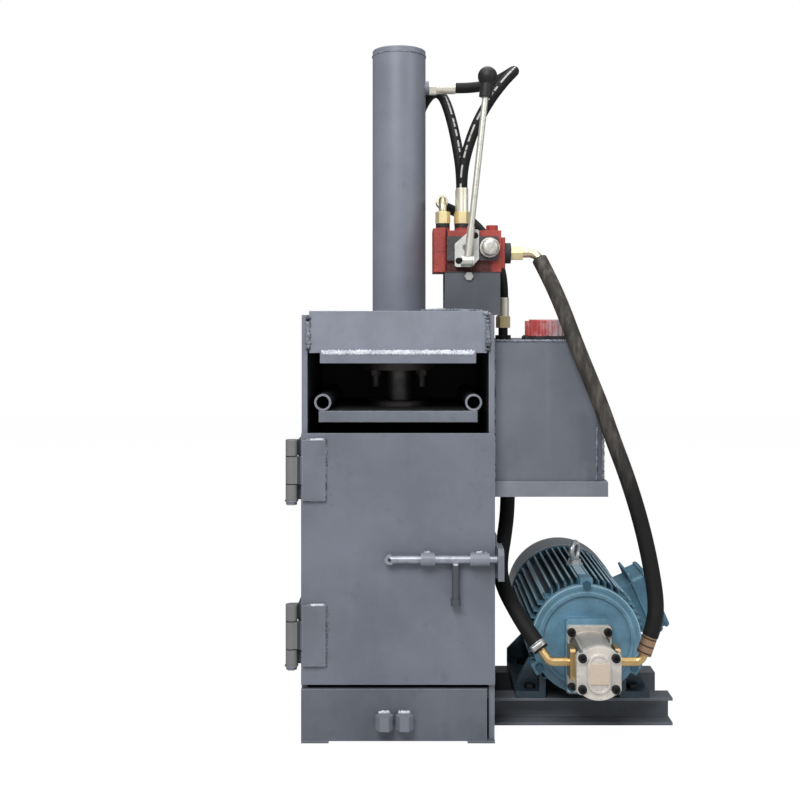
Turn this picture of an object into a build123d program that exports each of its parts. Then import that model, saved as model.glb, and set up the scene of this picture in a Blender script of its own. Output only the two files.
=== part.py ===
from build123d import *
import math
import os

os.makedirs("parts", exist_ok=True)

# Upright hydraulic press that flattens emptied pails: a welded box with a door,
# a ram on top, an oil tank, a hand valve, and a motor with a gear pump beside it.
# Millimetres. Z is up, the door faces -Y, the origin is the ram axis on the floor.

# Clearances shared by all pieces
running_fit = 0.05
bolt_clearance = 0.5
overrun = 5

# Press box
frame_width = 340
frame_depth = 340
frame_height = 751
wall = 10
base_plate_thickness = 4
base_ear_width = 48
base_front_thickness = 10
base_front_top = 95
base_front_inset = 14
anvil_thickness = 20
header_thickness = 10
header_height = 74
header_rise = 7
header_side_gap = 3
top_plate_thickness = 6
mount_thickness = 18
mount_side_gap = 23
mount_step = 6
lug_across_flats = 27
lug_height = 25
lug_spacing = 35
lug_base_height = 30
lug_offset = -6

# Door, its weld-on hinges and the drawn bolt
door_thickness = 10
door_gap = 0.6
door_sill_gap = 8
door_height = 440
door_corner = 8
hinge_radius = 10.5
hinge_length = 106
hinge_offset = 17
hinge_step = 6
hinge_pin_radius = 5
hinge_top_inset = 64
hinge_bottom_inset = 87
hinge_leaf = 6
hinge_web = 3
hinge_door_leaf_width = 40
hinge_door_leaf_inset = 3
hinge_frame_leaf_width = 45
hinge_washer_radius = 12
hinge_washer = 2
hinge_head_flats = 17
hinge_head_height = 6
knuckle_gap = 0.6
middle_knuckle_share = 0.46
latch_height = 222
latch_radius = 7
latch_neck_radius = 5.9
latch_neck_length = 33
latch_length = 188
latch_eye_radius = 8.5
latch_eye_hole = 3.2
latch_eye_thickness = 9
latch_tip_gap = 0.6
latch_throw = 18.5
guide_radius = 11
guide_inset = 11
guide_long = 33
guide_short = 24
guide_span = 62
guide_foot_width = 16
handle_radius = 6.6
handle_length = 80
handle_flare_radius = 8.6
handle_flare_height = 12
handle_gap = 0.4
keeper_thickness = 10
keeper_pad = 4
keeper_pad_height = 75
keeper_pad_depth = 30
keeper_height = 54
keeper_rise = 19
keeper_reach = 14
keeper_root = 45
keeper_bevel = 9
keeper_clearance = 2

# Cylinder and ram
barrel_radius = 51
bore_radius = 40
barrel_length = 573
cap_thickness = 19
cap_round = 2
gland_radius = 69.5
gland_thickness = 18
gland_bolt_circle = 61.5
gland_bolt_radius = 6
gland_nut_flats = 18
gland_nut_height = 10
gland_head_height = 8
gland_stud_length = 31
barrel_clearance = 0.5
port_boss_radius = 13
port_boss_length = 7
port_hole_radius = 4
cap_port_drop = 51
rod_port_rise = 33
rod_radius = 27.5
piston_height = 36
piston_top_gap = 80
piston_groove = 3
disc_radius = 56.5
disc_thickness = 10
platen_side_gap = 18
platen_back_gap = 10
platen_thickness = 20
ram_rest_gap = 58
platen_edge = 1.5
tube_radius = 15
tube_wall = 3.5

# Oil tank
tank_gap = 1
tank_width = 195
tank_depth = 300
tank_setback = 25
tank_drop = 297
tank_height = 251
tank_sheet = 4
tank_slope_width = 50
tank_slope_height = 160
shelf_height = 27
shelf_flange = 30
shelf_sheet = 4
shelf_overhang = 8
shelf_lip = 5
filler_inset_x = 101
filler_inset_y = 83
filler_radius = 30
filler_flange_radius = 41
filler_flange = 7
filler_bore = 24
filler_neck_height = 14
filler_screw_radius = 2.5
filler_screw_head = 2
filler_screw_count = 6
filler_cap_radius = 37
filler_cap_height = 28
filler_cap_top = 5
filler_cap_ribs = 18
filler_rib_radius = 3.6
filler_cap_lift = 0.4
return_inset_x = 29
return_inset_y = 145
suction_inset_x = 36
suction_inset_y = 125
nipple_radius = 9
nipple_rise = 22
suction_drop = 29
weld_socket_radius = 15
weld_socket_height = 8

# Hand valve on its stand
stand_left = 84
stand_width = 100
stand_front = -123
stand_depth = 108
stand_sheet = 6
stand_rise = 78
stand_bolt_flats = 14
stand_bolt_height = 4
stand_bolt_edge = 1
valve_left = 63
valve_end_width = 25
valve_width = 124
valve_front = -110
valve_depth = 90
valve_height = 80
valve_end_drop = 4
valve_end_radius = 6
cover_width = 93
cover_height = 44
cover_thickness = 7
cover_rise = 21
spool_x = 124
spool_radius = 7
spool_land_radius = 8
spool_land_length = 60
spool_height = 45
spool_tip_gap = 0.8
spool_travel = 8
lever_pivot_rise = 19
lever_pivot_reach = 19
lever_boss_radius = 8.5
lever_boss_width = 16.4
lever_pin_radius = 4
lever_lean = 6.2
lever_socket_radius = 7
lever_socket_length = 62
lever_rod_radius = 5.6
lever_length = 319
knob_radius = 17.5
knob_neck_radius = 11.5
knob_neck_length = 24
bracket_height = 68
bracket_thickness = 4
bracket_ear = 3
bracket_ear_gap = 0.4
bracket_half_width = 22
bracket_slant = 26
bracket_lobe = 14
bracket_round = 4
bracket_screw_inset = 11
bracket_screw_radius = 4
bracket_screw_head = 3
relief_x = 165
relief_rise = 44
relief_collar_radius = 18
relief_collar = 9
relief_cap_radius = 15.5
relief_cap_length = 16
relief_plug_flats = 19
relief_plug_height = 12
end_plate = 8
end_collar_radius = 19
end_collar = 11
pressure_axis_rise = 36
pressure_y = -84
port_y_front = -66
port_y_back = -36
port_t_x = 82
port_t_y = -66
port_a_x = 118
port_ring_radius = 13
port_ring_height = 12
nut_flats = 24
nut_height = 22
cylinder_nut_height = 14
cylinder_sleeve = 36
sleeve_radius = 11.5
sleeve_length = 44
elbow_radius = 7
pressure_pipe_radius = 8
elbow_bend = 20
pressure_elbow_reach = 31
pressure_elbow_forward = 6.6
pressure_elbow_drop = 12
return_elbow_rise = 24
return_elbow_reach = 34

# Motor on its two channels
beam_height = 50
beam_depth = 40
beam_sheet = 5
beam_length = 332
motor_offset = 167
motor_axis_height = 120
motor_feet_x = 190
motor_feet_y = 140
motor_feet_center = -8
foot_width = 55
foot_depth = 38
foot_thickness = 12
foot_web = 12
foot_gusset = 7
foot_block = 36
foot_root_height = 64
foot_bolt_flats = 18
foot_bolt_head = 8
motor_front = -130
motor_length = 275
motor_shell_radius = 92
motor_shell_wall = 9
fin_radius = 105
fin_width = 3
fin_pitch = 12
fins_each_side = 6
shield_radius = 98
shield_rim = 12
shield_ring_radius = 84
shield_ring_width = 5
shield_ring_height = 4
shield_hub_radius = 30
shield_hub_depth = 24
shield_lug = 22
shield_lugs = 3
shield_lug_start = 90
pad_width = 80
pad_rise = 42
pad_drop = 90
pad_depth = 20
pad_round = 8
rear_shield_wall = 10
cowl_seat = 0.1
shaft_radius = 14
shaft_end_gap = 0.5
rotor_radius = 62
rotor_length = 150
stator_outer_gap = 0.2
stator_air_gap = 0.5
stator_length = 140
cowl_radius = 108
cowl_sheet = 2
cowl_length = 88
cowl_overlap = 8
cowl_round = 14
grille_rings = 5
grille_spokes = 6
grille_slot_width = 9
grille_spoke_width = 10
fan_hub_radius = 22
fan_hub_length = 22
fan_radius = 96
fan_disc = 4
fan_blade_depth = 26
fan_blade_thickness = 3
fan_blades = 8
fan_tail_gap = 12
box_width = 34
box_depth = 92
box_height = 104
box_lean = 24
box_seat = 118
box_flange = 4
box_flange_lip = 14
box_center_y = -52
box_lid = 8
box_lid_lip = 3
box_round = 8
box_neck = 14
cable_gland_flats = 20
cable_gland_length = 18
eye_ring_radius = 16
eye_turn = 60
eye_wire = 5
eye_collar_radius = 13
eye_collar = 8
eye_y = -4
eye_boss_radius = 16
lug_bolt_flats = 13
lug_bolt_head = 6

# Gear pump
pump_drop = 19
flange_width = 78
flange_height = 116
flange_drop = 25
flange_ear_share = 0.5
flange_waist_share = 0.68
flange_thickness = 12
flange_bolt_x = 64
flange_bolt_z = 96
flange_bolt_radius = 5
flange_round = 6
pump_body_width = 68
pump_body_height = 86
pump_body_length = 80
pump_body_round = 28
pump_cover_width = 75
pump_cover_thickness = 12
pump_cover_round = 9
pump_arch_radius = 45
pump_bolt_x = 56
pump_bolt_z = 52
socket_head_radius = 7
socket_head_height = 6
socket_hex_flats = 7
socket_hex_depth = 4
panel_width = 39
panel_height = 66
panel_rise = 4
panel_recess_width = 31
panel_recess_height = 35
panel_recess = 1.5
port_flange_height = 54
port_flange_depth = 40
port_flange_thickness = 9
port_flange_round = 8
port_tube_radius = 7.5
port_rise = 3.5
port_bend = 15
outlet_reach = 97
outlet_rise = 44.5
inlet_reach = 89
inlet_setback = 9
inlet_rise = 17.5
outlet_sleeve = 33
outlet_sleeve_radius = 13

# Hoses
pressure_hose_diameter = 28
suction_hose_diameter = 28
ram_hose_diameter = 20
clamp_thickness = 1.5
clamp_width = 11
clamp_screw_radius = 4
clamp_screw_length = 18
clamp_inset = 3
bend_share = 0.45

# Levels and places worked out from the sizes above
half_width = frame_width / 2
inner_half = half_width - wall
front = -frame_depth / 2
back = frame_depth / 2
inner_back = back - wall
header_bottom = frame_height + header_rise - header_height
mount_bottom = header_bottom - mount_thickness
mount_width = 2 * (inner_half - mount_side_gap)
door_back = front - door_gap
door_front = door_back - door_thickness
door_bottom = base_front_top + door_sill_gap
door_top = door_bottom + door_height
hinge_x = -half_width - hinge_offset
hinge_y = front - hinge_step
hinge_levels = (door_top - hinge_top_inset, door_bottom + hinge_bottom_inset)
latch_z = door_bottom + latch_height
latch_y = door_front - guide_radius
keeper_face = half_width + keeper_pad
latch_tip = keeper_face - latch_tip_gap
guide_long_left = half_width - guide_inset - guide_long
guide_short_left = guide_long_left - guide_span - guide_short
handle_x = guide_long_left - latch_throw - handle_gap - handle_radius
gland_bottom = mount_bottom - gland_thickness
barrel_top = mount_bottom + barrel_length
cap_port_z = barrel_top - cap_port_drop
rod_port_z = mount_bottom + rod_port_rise
piston_top = barrel_top - piston_top_gap
piston_bottom = piston_top - piston_height
platen_width = 2 * (inner_half - platen_side_gap)
platen_depth = 2 * (inner_back - platen_back_gap)
disc_top = gland_bottom - ram_rest_gap
platen_top = disc_top - disc_thickness
platen_bottom = platen_top - platen_thickness
tank_left = half_width + tank_gap
tank_right = tank_left + tank_width
tank_front = front + tank_setback
tank_bottom = frame_height - tank_drop
filler_x = tank_left + filler_inset_x
filler_y = tank_front + filler_inset_y
return_x = tank_left + return_inset_x
return_y = tank_front + return_inset_y
suction_x = tank_left + suction_inset_x
suction_y = tank_front + suction_inset_y
tank_top = tank_bottom + tank_height
cover_front = valve_front - cover_thickness
stand_top = frame_height + stand_rise
valve_bottom = stand_top
valve_top = valve_bottom + valve_height
valve_right = valve_left + valve_width
spool_z = valve_bottom + spool_height
pivot_z = valve_bottom + lever_pivot_rise
pivot_y = cover_front - bracket_thickness - lever_pivot_reach
pressure_z = valve_bottom + pressure_axis_rise
port_top = valve_top + port_ring_height
nut_top = port_top + nut_height
motor_x = half_width + motor_offset
motor_z = beam_height + motor_axis_height
box_plane = Plane(
    origin=(motor_x, box_center_y, motor_z),
    x_dir=(0, 1, 0),
    z_dir=Vector(1, 0, 0).rotate(Axis.Y, -box_lean),
)
motor_back = motor_front + motor_length
shield_front = motor_front - shield_rim
pad_front = shield_front - pad_depth
pump_z = motor_z - pump_drop
flange_front = pad_front - flange_thickness
pump_cover_back = flange_front - pump_body_length
pump_cover_front = pump_cover_back - pump_cover_thickness
pump_mid = flange_front - pump_body_length / 2

centred_low = (Align.CENTER, Align.CENTER, Align.MIN)
low_low_low = (Align.MIN, Align.MIN, Align.MIN)


def front_plane(y):
    """Plane facing the viewer at depth y: local x is X, local y is Z."""
    return Plane.XZ.offset(-y)


def side_plane(x):
    """Plane facing +X at x: local x is Y, local y is Z."""
    return Plane.YZ.offset(x)


def level(z):
    """Horizontal plane at height z."""
    return Plane.XY.offset(z)


def save(piece, name):
    """Label one finished piece and write its own file."""
    piece.part.label = name
    export_step(piece.part, f"parts/{name}.step")


# Side, back and base plates of the box
for name, x in (("left_wall", -half_width), ("right_wall", inner_half)):
    with BuildPart() as side_wall:
        with Locations((x, front, base_plate_thickness)):
            Box(wall, frame_depth, frame_height - base_plate_thickness, align=low_low_low)
    save(side_wall, name)

with BuildPart() as back_wall:
    with Locations((-inner_half, inner_back, base_plate_thickness)):
        Box(2 * inner_half, wall, frame_height - base_plate_thickness, align=low_low_low)
save(back_wall, "back_wall")

with BuildPart() as base_plate:
    with BuildSketch():
        Rectangle(frame_width, frame_depth)
        for ear_x in (-half_width, half_width - base_ear_width):
            with Locations((ear_x, front - base_front_thickness)):
                Rectangle(base_ear_width, base_front_thickness, align=(Align.MIN, Align.MIN))
    extrude(amount=base_plate_thickness)
save(base_plate, "base_plate")

# Base front with a pair of solid hexagon lugs welded on it
with BuildPart() as base_front_plate:
    with Locations((-half_width, front - base_front_thickness, base_plate_thickness)):
        Box(
            frame_width - base_front_inset,
            base_front_thickness,
            base_front_top - base_plate_thickness,
            align=low_low_low,
        )
    lug_y = front - base_front_thickness - lug_across_flats / 2
    with BuildSketch(level(lug_base_height)):
        with Locations((lug_offset, lug_y)):
            with GridLocations(lug_spacing, 0, 2, 1):
                RegularPolygon(lug_across_flats / 2, 6, major_radius=False)
    extrude(amount=lug_height)
save(base_front_plate, "base_front_plate")

# Chamber floor that the pail is crushed against
with BuildPart() as anvil_plate:
    with Locations((0, front, base_front_top - anvil_thickness)):
        Box(
            2 * inner_half,
            inner_back - front,
            anvil_thickness,
            align=(Align.CENTER, Align.MIN, Align.MIN),
        )
save(anvil_plate, "anvil_plate")

# Header, slotted top plate and the plate that carries the cylinder
with BuildPart() as header_plate:
    with Locations((0, front, header_bottom)):
        Box(
            2 * (inner_half - header_side_gap),
            header_thickness,
            header_height,
            align=(Align.CENTER, Align.MIN, Align.MIN),
        )
save(header_plate, "header_plate")

with BuildPart() as top_plate:
    slot_radius = barrel_radius + barrel_clearance
    with BuildSketch(level(frame_height - top_plate_thickness)):
        with Locations((0, front + header_thickness)):
            Rectangle(
                2 * inner_half,
                inner_back - front - header_thickness,
                align=(Align.CENTER, Align.MIN),
            )
        Circle(slot_radius, mode=Mode.SUBTRACT)
        Rectangle(
            2 * slot_radius,
            inner_back + overrun,
            align=(Align.CENTER, Align.MIN),
            mode=Mode.SUBTRACT,
        )
    extrude(amount=top_plate_thickness)
save(top_plate, "top_plate")

with BuildPart() as cylinder_mount_plate:
    with BuildSketch(level(mount_bottom)):
        with Locations((0, front - mount_step)):
            Rectangle(mount_width, inner_back - front + mount_step, align=(Align.CENTER, Align.MIN))
        Circle(barrel_radius + barrel_clearance, mode=Mode.SUBTRACT)
        with PolarLocations(gland_bolt_circle, 4, start_angle=45):
            Circle(gland_bolt_radius + bolt_clearance, mode=Mode.SUBTRACT)
    extrude(amount=mount_thickness)
save(cylinder_mount_plate, "cylinder_mount_plate")

# Cylinder: welded barrel and cap with two port bosses, open at the foot
with BuildPart() as cylinder_barrel:
    with BuildSketch(level(mount_bottom)):
        Circle(barrel_radius)
    extrude(amount=barrel_length + cap_thickness)
    fillet(edges().sort_by(Axis.Z)[-1], cap_round)
    with BuildSketch(side_plane(0)):
        with Locations((0, cap_port_z)):
            Circle(port_boss_radius)
    extrude(amount=barrel_radius + port_boss_length)
    with BuildSketch(front_plane(0)):
        with Locations((0, rod_port_z)):
            Circle(port_boss_radius)
    extrude(amount=-barrel_radius - port_boss_length)
    with BuildSketch(level(mount_bottom)):
        Circle(bore_radius)
    extrude(amount=barrel_length, mode=Mode.SUBTRACT)
    with BuildSketch(side_plane(0)):
        with Locations((0, cap_port_z)):
            Circle(port_hole_radius)
    extrude(amount=barrel_radius + port_boss_length, mode=Mode.SUBTRACT)
    with BuildSketch(front_plane(0)):
        with Locations((0, rod_port_z)):
            Circle(port_hole_radius)
    extrude(amount=-barrel_radius - port_boss_length, mode=Mode.SUBTRACT)
save(cylinder_barrel, "cylinder_barrel")

with BuildPart() as cylinder_gland:
    with BuildSketch(level(gland_bottom)):
        Circle(gland_radius)
        Circle(rod_radius + running_fit, mode=Mode.SUBTRACT)
        with PolarLocations(gland_bolt_circle, 4, start_angle=45):
            Circle(gland_bolt_radius + bolt_clearance, mode=Mode.SUBTRACT)
    extrude(amount=gland_thickness)
save(cylinder_gland, "cylinder_gland")

# Four long bolts through the mounting plate and gland, with nuts below
with BuildPart() as gland_bolts:
    with BuildSketch(level(header_bottom)):
        with PolarLocations(gland_bolt_circle, 4, start_angle=45):
            RegularPolygon(gland_nut_flats / 2, 6, major_radius=False)
    extrude(amount=gland_head_height)
    with BuildSketch(level(gland_bottom - gland_stud_length)):
        with PolarLocations(gland_bolt_circle, 4, start_angle=45):
            Circle(gland_bolt_radius)
    extrude(amount=gland_stud_length + gland_thickness + mount_thickness)
    with BuildSketch(level(gland_bottom - gland_nut_height)):
        with PolarLocations(gland_bolt_circle, 4, start_angle=45):
            RegularPolygon(gland_nut_flats / 2, 6, major_radius=False)
    extrude(amount=gland_nut_height)
save(gland_bolts, "gland_bolts")

# Ram: piston, rod, foot disc, pressing plate and its two edge tubes
with BuildPart() as piston:
    with BuildSketch(level(piston_bottom)):
        Circle(bore_radius - running_fit)
    extrude(amount=piston_height)
    with BuildSketch(level(piston_bottom + piston_height / 2)):
        Circle(bore_radius)
        Circle(bore_radius - piston_groove, mode=Mode.SUBTRACT)
    extrude(amount=piston_groove, both=True, mode=Mode.SUBTRACT)
save(piston, "piston")

with BuildPart() as piston_rod:
    with BuildSketch(level(disc_top)):
        Circle(rod_radius)
    extrude(amount=piston_bottom - disc_top)
save(piston_rod, "piston_rod")

with BuildPart() as rod_disc:
    with BuildSketch(level(platen_top)):
        Circle(disc_radius)
    extrude(amount=disc_thickness)
    chamfer(edges().sort_by(Axis.Z)[-1], disc_thickness / 4)
save(rod_disc, "rod_disc")

with BuildPart() as platen:
    with Locations((0, 0, platen_bottom)):
        Box(platen_width, platen_depth, platen_thickness, align=centred_low)
    chamfer(edges().filter_by(Axis.Z), platen_edge)
save(platen, "platen")

with BuildPart() as guide_tubes:
    with BuildSketch(front_plane(platen_depth / 2)):
        with Locations((0, platen_top + tube_radius)):
            with GridLocations(platen_width - tube_radius, 0, 2, 1):
                Circle(tube_radius)
                Circle(tube_radius - tube_wall, mode=Mode.SUBTRACT)
    extrude(amount=platen_depth)
save(guide_tubes, "guide_tubes")

# Door plate with one rounded upper corner
with BuildPart() as door_panel:
    with Locations((0, door_front, door_bottom)):
        Box(frame_width, door_thickness, door_height, align=(Align.CENTER, Align.MIN, Align.MIN))
    fillet(edges().filter_by(Axis.Y).group_by(Axis.Z)[-1].sort_by(Axis.X)[-1], door_corner)
save(door_panel, "door_panel")

# Weld-on hinges: two outer knuckles on the wall, the middle one on the door
knuckle_bore = hinge_pin_radius + running_fit
middle_knuckle = hinge_length * middle_knuckle_share
outer_knuckle = (hinge_length - middle_knuckle) / 2 - knuckle_gap

with BuildPart() as frame_hinges:
    for hinge_z in hinge_levels:
        hinge_low = hinge_z - hinge_length / 2
        with Locations((-half_width - hinge_leaf, front, hinge_low)):
            Box(hinge_leaf, hinge_frame_leaf_width, hinge_length, align=low_low_low)
        for knuckle_low in (hinge_low, hinge_z + hinge_length / 2 - outer_knuckle):
            with BuildSketch(level(knuckle_low)):
                with Locations((hinge_x, hinge_y)):
                    Circle(hinge_radius)
                with Locations((hinge_x, front)):
                    Rectangle(
                        hinge_offset,
                        hinge_y + hinge_radius - front,
                        align=(Align.MIN, Align.MIN),
                    )
                with Locations((hinge_x, hinge_y)):
                    Circle(knuckle_bore, mode=Mode.SUBTRACT)
            extrude(amount=outer_knuckle)
save(frame_hinges, "frame_hinges")

with BuildPart() as door_hinges:
    leaf_left = -half_width + hinge_door_leaf_inset
    for hinge_z in hinge_levels:
        with Locations((leaf_left, door_front - hinge_leaf, hinge_z - hinge_length / 2)):
            Box(hinge_door_leaf_width, hinge_leaf, hinge_length, align=low_low_low)
        with BuildSketch(level(hinge_z - middle_knuckle / 2)):
            with Locations((hinge_x, hinge_y)):
                Circle(hinge_radius)
            with Locations((hinge_x, door_front - hinge_web)):
                Rectangle(leaf_left - hinge_x, hinge_web, align=(Align.MIN, Align.MIN))
            with Locations((hinge_x, hinge_y)):
                Circle(knuckle_bore, mode=Mode.SUBTRACT)
        extrude(amount=middle_knuckle)
save(door_hinges, "door_hinges")

with BuildPart() as hinge_pins:
    for hinge_z in hinge_levels:
        hinge_low = hinge_z - hinge_length / 2
        with BuildSketch(level(hinge_low)):
            with Locations((hinge_x, hinge_y)):
                Circle(hinge_pin_radius)
        extrude(amount=hinge_length)
        with BuildSketch(level(hinge_low - hinge_washer)):
            with Locations((hinge_x, hinge_y)):
                Circle(hinge_washer_radius)
        extrude(amount=hinge_washer)
        with BuildSketch(level(hinge_low - hinge_washer)):
            with Locations((hinge_x, hinge_y)):
                RegularPolygon(hinge_head_flats / 2, 6, major_radius=False)
        extrude(amount=-hinge_head_height)
save(hinge_pins, "hinge_pins")

# Two sleeves on the door that guide the bolt
with BuildPart() as bolt_guides:
    for guide_left, guide_length in (
        (guide_short_left, guide_short),
        (guide_long_left, guide_long),
    ):
        with BuildSketch(side_plane(guide_left)):
            with Locations((latch_y, latch_z)):
                Circle(guide_radius)
            with Locations((latch_y, latch_z)):
                Rectangle(guide_radius, guide_foot_width, align=(Align.MIN, Align.CENTER))
            with Locations((latch_y, latch_z)):
                Circle(latch_radius + running_fit, mode=Mode.SUBTRACT)
        extrude(amount=guide_length)
save(bolt_guides, "bolt_guides")

# Sliding bolt with an eye at one end, a necked tip and a hanging handle
with BuildPart() as latch_bolt:
    eye_x = latch_tip - latch_length
    with BuildSketch(side_plane(eye_x)):
        with Locations((latch_y, latch_z)):
            Circle(latch_radius)
    extrude(amount=latch_length - latch_neck_length)
    with BuildSketch(side_plane(latch_tip - latch_neck_length)):
        with Locations((latch_y, latch_z)):
            Circle(latch_neck_radius)
    extrude(amount=latch_neck_length)
    with BuildSketch(front_plane(latch_y + latch_eye_thickness / 2)):
        with Locations((eye_x, latch_z)):
            Circle(latch_eye_radius)
    extrude(amount=latch_eye_thickness)
    with BuildSketch(front_plane(latch_y + latch_radius)):
        with Locations((eye_x, latch_z)):
            Circle(latch_eye_hole)
    extrude(amount=2 * latch_radius, mode=Mode.SUBTRACT)
    with BuildSketch(level(latch_z)):
        with Locations((handle_x, latch_y)):
            Circle(handle_radius)
    extrude(amount=-handle_length)
    with BuildSketch(level(latch_z - handle_length)):
        with Locations((handle_x, latch_y)):
            Circle(handle_flare_radius)
    extrude(amount=handle_flare_height)
save(latch_bolt, "latch_bolt")

# Keeper plate on a backing pad beside the door
with BuildPart() as bolt_keeper:
    with Locations((half_width, front, latch_z - keeper_pad_height / 2)):
        Box(keeper_pad, keeper_pad_depth, keeper_pad_height, align=low_low_low)
    with BuildSketch(side_plane(keeper_face)):
        with Locations((latch_y - keeper_reach, latch_z + keeper_rise - keeper_height)):
            Rectangle(keeper_reach + keeper_root, keeper_height, align=(Align.MIN, Align.MIN))
        chamfer(vertices().group_by(Axis.Y)[-1].sort_by(Axis.X)[0], keeper_bevel)
        with Locations((latch_y, latch_z)):
            Circle(latch_radius + keeper_clearance, mode=Mode.SUBTRACT)
    extrude(amount=keeper_thickness)
save(bolt_keeper, "bolt_keeper")

# Oil tank: sheet box with one sloped shoulder, hollow, open at the filler
with BuildPart() as oil_tank:
    with BuildSketch(front_plane(tank_front)):
        with BuildLine():
            Polyline(
                (tank_left, tank_bottom),
                (tank_right, tank_bottom),
                (tank_right, tank_top - tank_slope_height),
                (tank_right - tank_slope_width, tank_top),
                (tank_left, tank_top),
                close=True,
            )
        make_face()
    extrude(amount=-tank_depth)
    with BuildSketch(front_plane(tank_front + tank_sheet)):
        with BuildLine():
            Polyline(
                (tank_left + tank_sheet, tank_bottom + tank_sheet),
                (tank_right - tank_sheet, tank_bottom + tank_sheet),
                (tank_right - tank_sheet, tank_top - tank_slope_height),
                (tank_right - tank_slope_width - tank_sheet, tank_top - tank_sheet),
                (tank_left + tank_sheet, tank_top - tank_sheet),
                close=True,
            )
        make_face()
    extrude(amount=-tank_depth + 2 * tank_sheet, mode=Mode.SUBTRACT)
    with BuildSketch(level(tank_top)):
        with Locations((filler_x, filler_y)):
            Circle(filler_bore)
    extrude(amount=-tank_sheet, mode=Mode.SUBTRACT)
save(oil_tank, "oil_tank")

# Two angles welded to the box side carry the tank
with BuildPart() as tank_shelf:
    for outer, turn in ((tank_front - shelf_lip, 1), (tank_front + tank_depth + shelf_lip, -1)):
        with BuildSketch(side_plane(half_width)):
            with BuildLine():
                Polyline(
                    (outer, tank_bottom),
                    (outer + turn * shelf_flange, tank_bottom),
                    (outer + turn * shelf_flange, tank_bottom - shelf_sheet),
                    (outer + turn * shelf_sheet, tank_bottom - shelf_sheet),
                    (outer + turn * shelf_sheet, tank_bottom - shelf_height),
                    (outer, tank_bottom - shelf_height),
                    close=True,
                )
            make_face()
        extrude(amount=tank_gap + tank_width + shelf_overhang)
save(tank_shelf, "tank_shelf")

# Filler neck with a screwed flange ring
with BuildPart() as filler_neck:
    with BuildSketch(level(tank_top)):
        with Locations((filler_x, filler_y)):
            Circle(filler_flange_radius)
            Circle(filler_bore, mode=Mode.SUBTRACT)
    extrude(amount=filler_flange)
    with BuildSketch(level(tank_top + filler_flange)):
        with Locations((filler_x, filler_y)):
            Circle(filler_radius)
            Circle(filler_bore, mode=Mode.SUBTRACT)
    extrude(amount=filler_neck_height)
    with BuildSketch(level(tank_top)):
        with Locations((filler_x, filler_y)):
            with PolarLocations(filler_flange_radius, filler_screw_count, start_angle=30):
                Circle(2 * filler_screw_radius)
    extrude(amount=filler_flange)
    with BuildSketch(level(tank_top + filler_flange)):
        with Locations((filler_x, filler_y)):
            with PolarLocations(filler_flange_radius, filler_screw_count, start_angle=30):
                Circle(filler_screw_radius)
    extrude(amount=filler_screw_head)
save(filler_neck, "filler_neck")

# Ribbed filler cap that turns on the neck
with BuildPart() as filler_cap:
    cap_low = tank_top + filler_flange + filler_cap_lift
    with BuildSketch(level(cap_low)):
        with Locations((filler_x, filler_y)):
            Circle(filler_cap_radius - filler_rib_radius)
            with PolarLocations(filler_cap_radius - filler_rib_radius, filler_cap_ribs):
                Circle(filler_rib_radius)
    extrude(amount=filler_cap_height)
    with BuildSketch(level(cap_low)):
        with Locations((filler_x, filler_y)):
            Circle(filler_radius + running_fit)
    extrude(amount=filler_cap_height - filler_cap_top, mode=Mode.SUBTRACT)
    with BuildSketch(level(cap_low + filler_cap_height)):
        with Locations((filler_x, filler_y)):
            Circle(filler_radius)
    extrude(amount=filler_cap_top / 2, taper=20)
save(filler_cap, "filler_cap")

# Welded sockets with nipples: return on the tank lid, suction under it
with BuildPart() as tank_fittings:
    for x, y, z, way, length in (
        (return_x, return_y, tank_top, 1, nipple_rise),
        (suction_x, suction_y, tank_bottom, -1, suction_drop),
    ):
        with BuildSketch(level(z)):
            with Locations((x, y)):
                Circle(weld_socket_radius)
        extrude(amount=way * weld_socket_height)
        with BuildSketch(level(z)):
            with Locations((x, y)):
                Circle(nipple_radius)
        extrude(amount=way * length)
save(tank_fittings, "tank_fittings")

# Valve stand: bent sheet standing on the top plate, with a bolt under the valve
with BuildPart() as valve_stand:
    stand_back = stand_front + stand_depth
    with BuildSketch(side_plane(stand_left)):
        with BuildLine():
            Polyline(
                (stand_front, frame_height),
                (stand_front, stand_top),
                (stand_back, stand_top),
                (stand_back, frame_height),
                (stand_back - stand_sheet, frame_height),
                (stand_back - stand_sheet, stand_top - stand_sheet),
                (stand_front + stand_sheet, stand_top - stand_sheet),
                (stand_front + stand_sheet, frame_height),
                close=True,
            )
        make_face()
    extrude(amount=stand_width)
    with BuildSketch(front_plane(stand_front)):
        with Locations((spool_x + stand_bolt_flats / 4, stand_top - stand_bolt_edge - stand_bolt_flats / 2)):
            RegularPolygon(stand_bolt_flats / 2, 6, major_radius=False)
    extrude(amount=stand_bolt_height)
save(valve_stand, "valve_stand")

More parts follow.
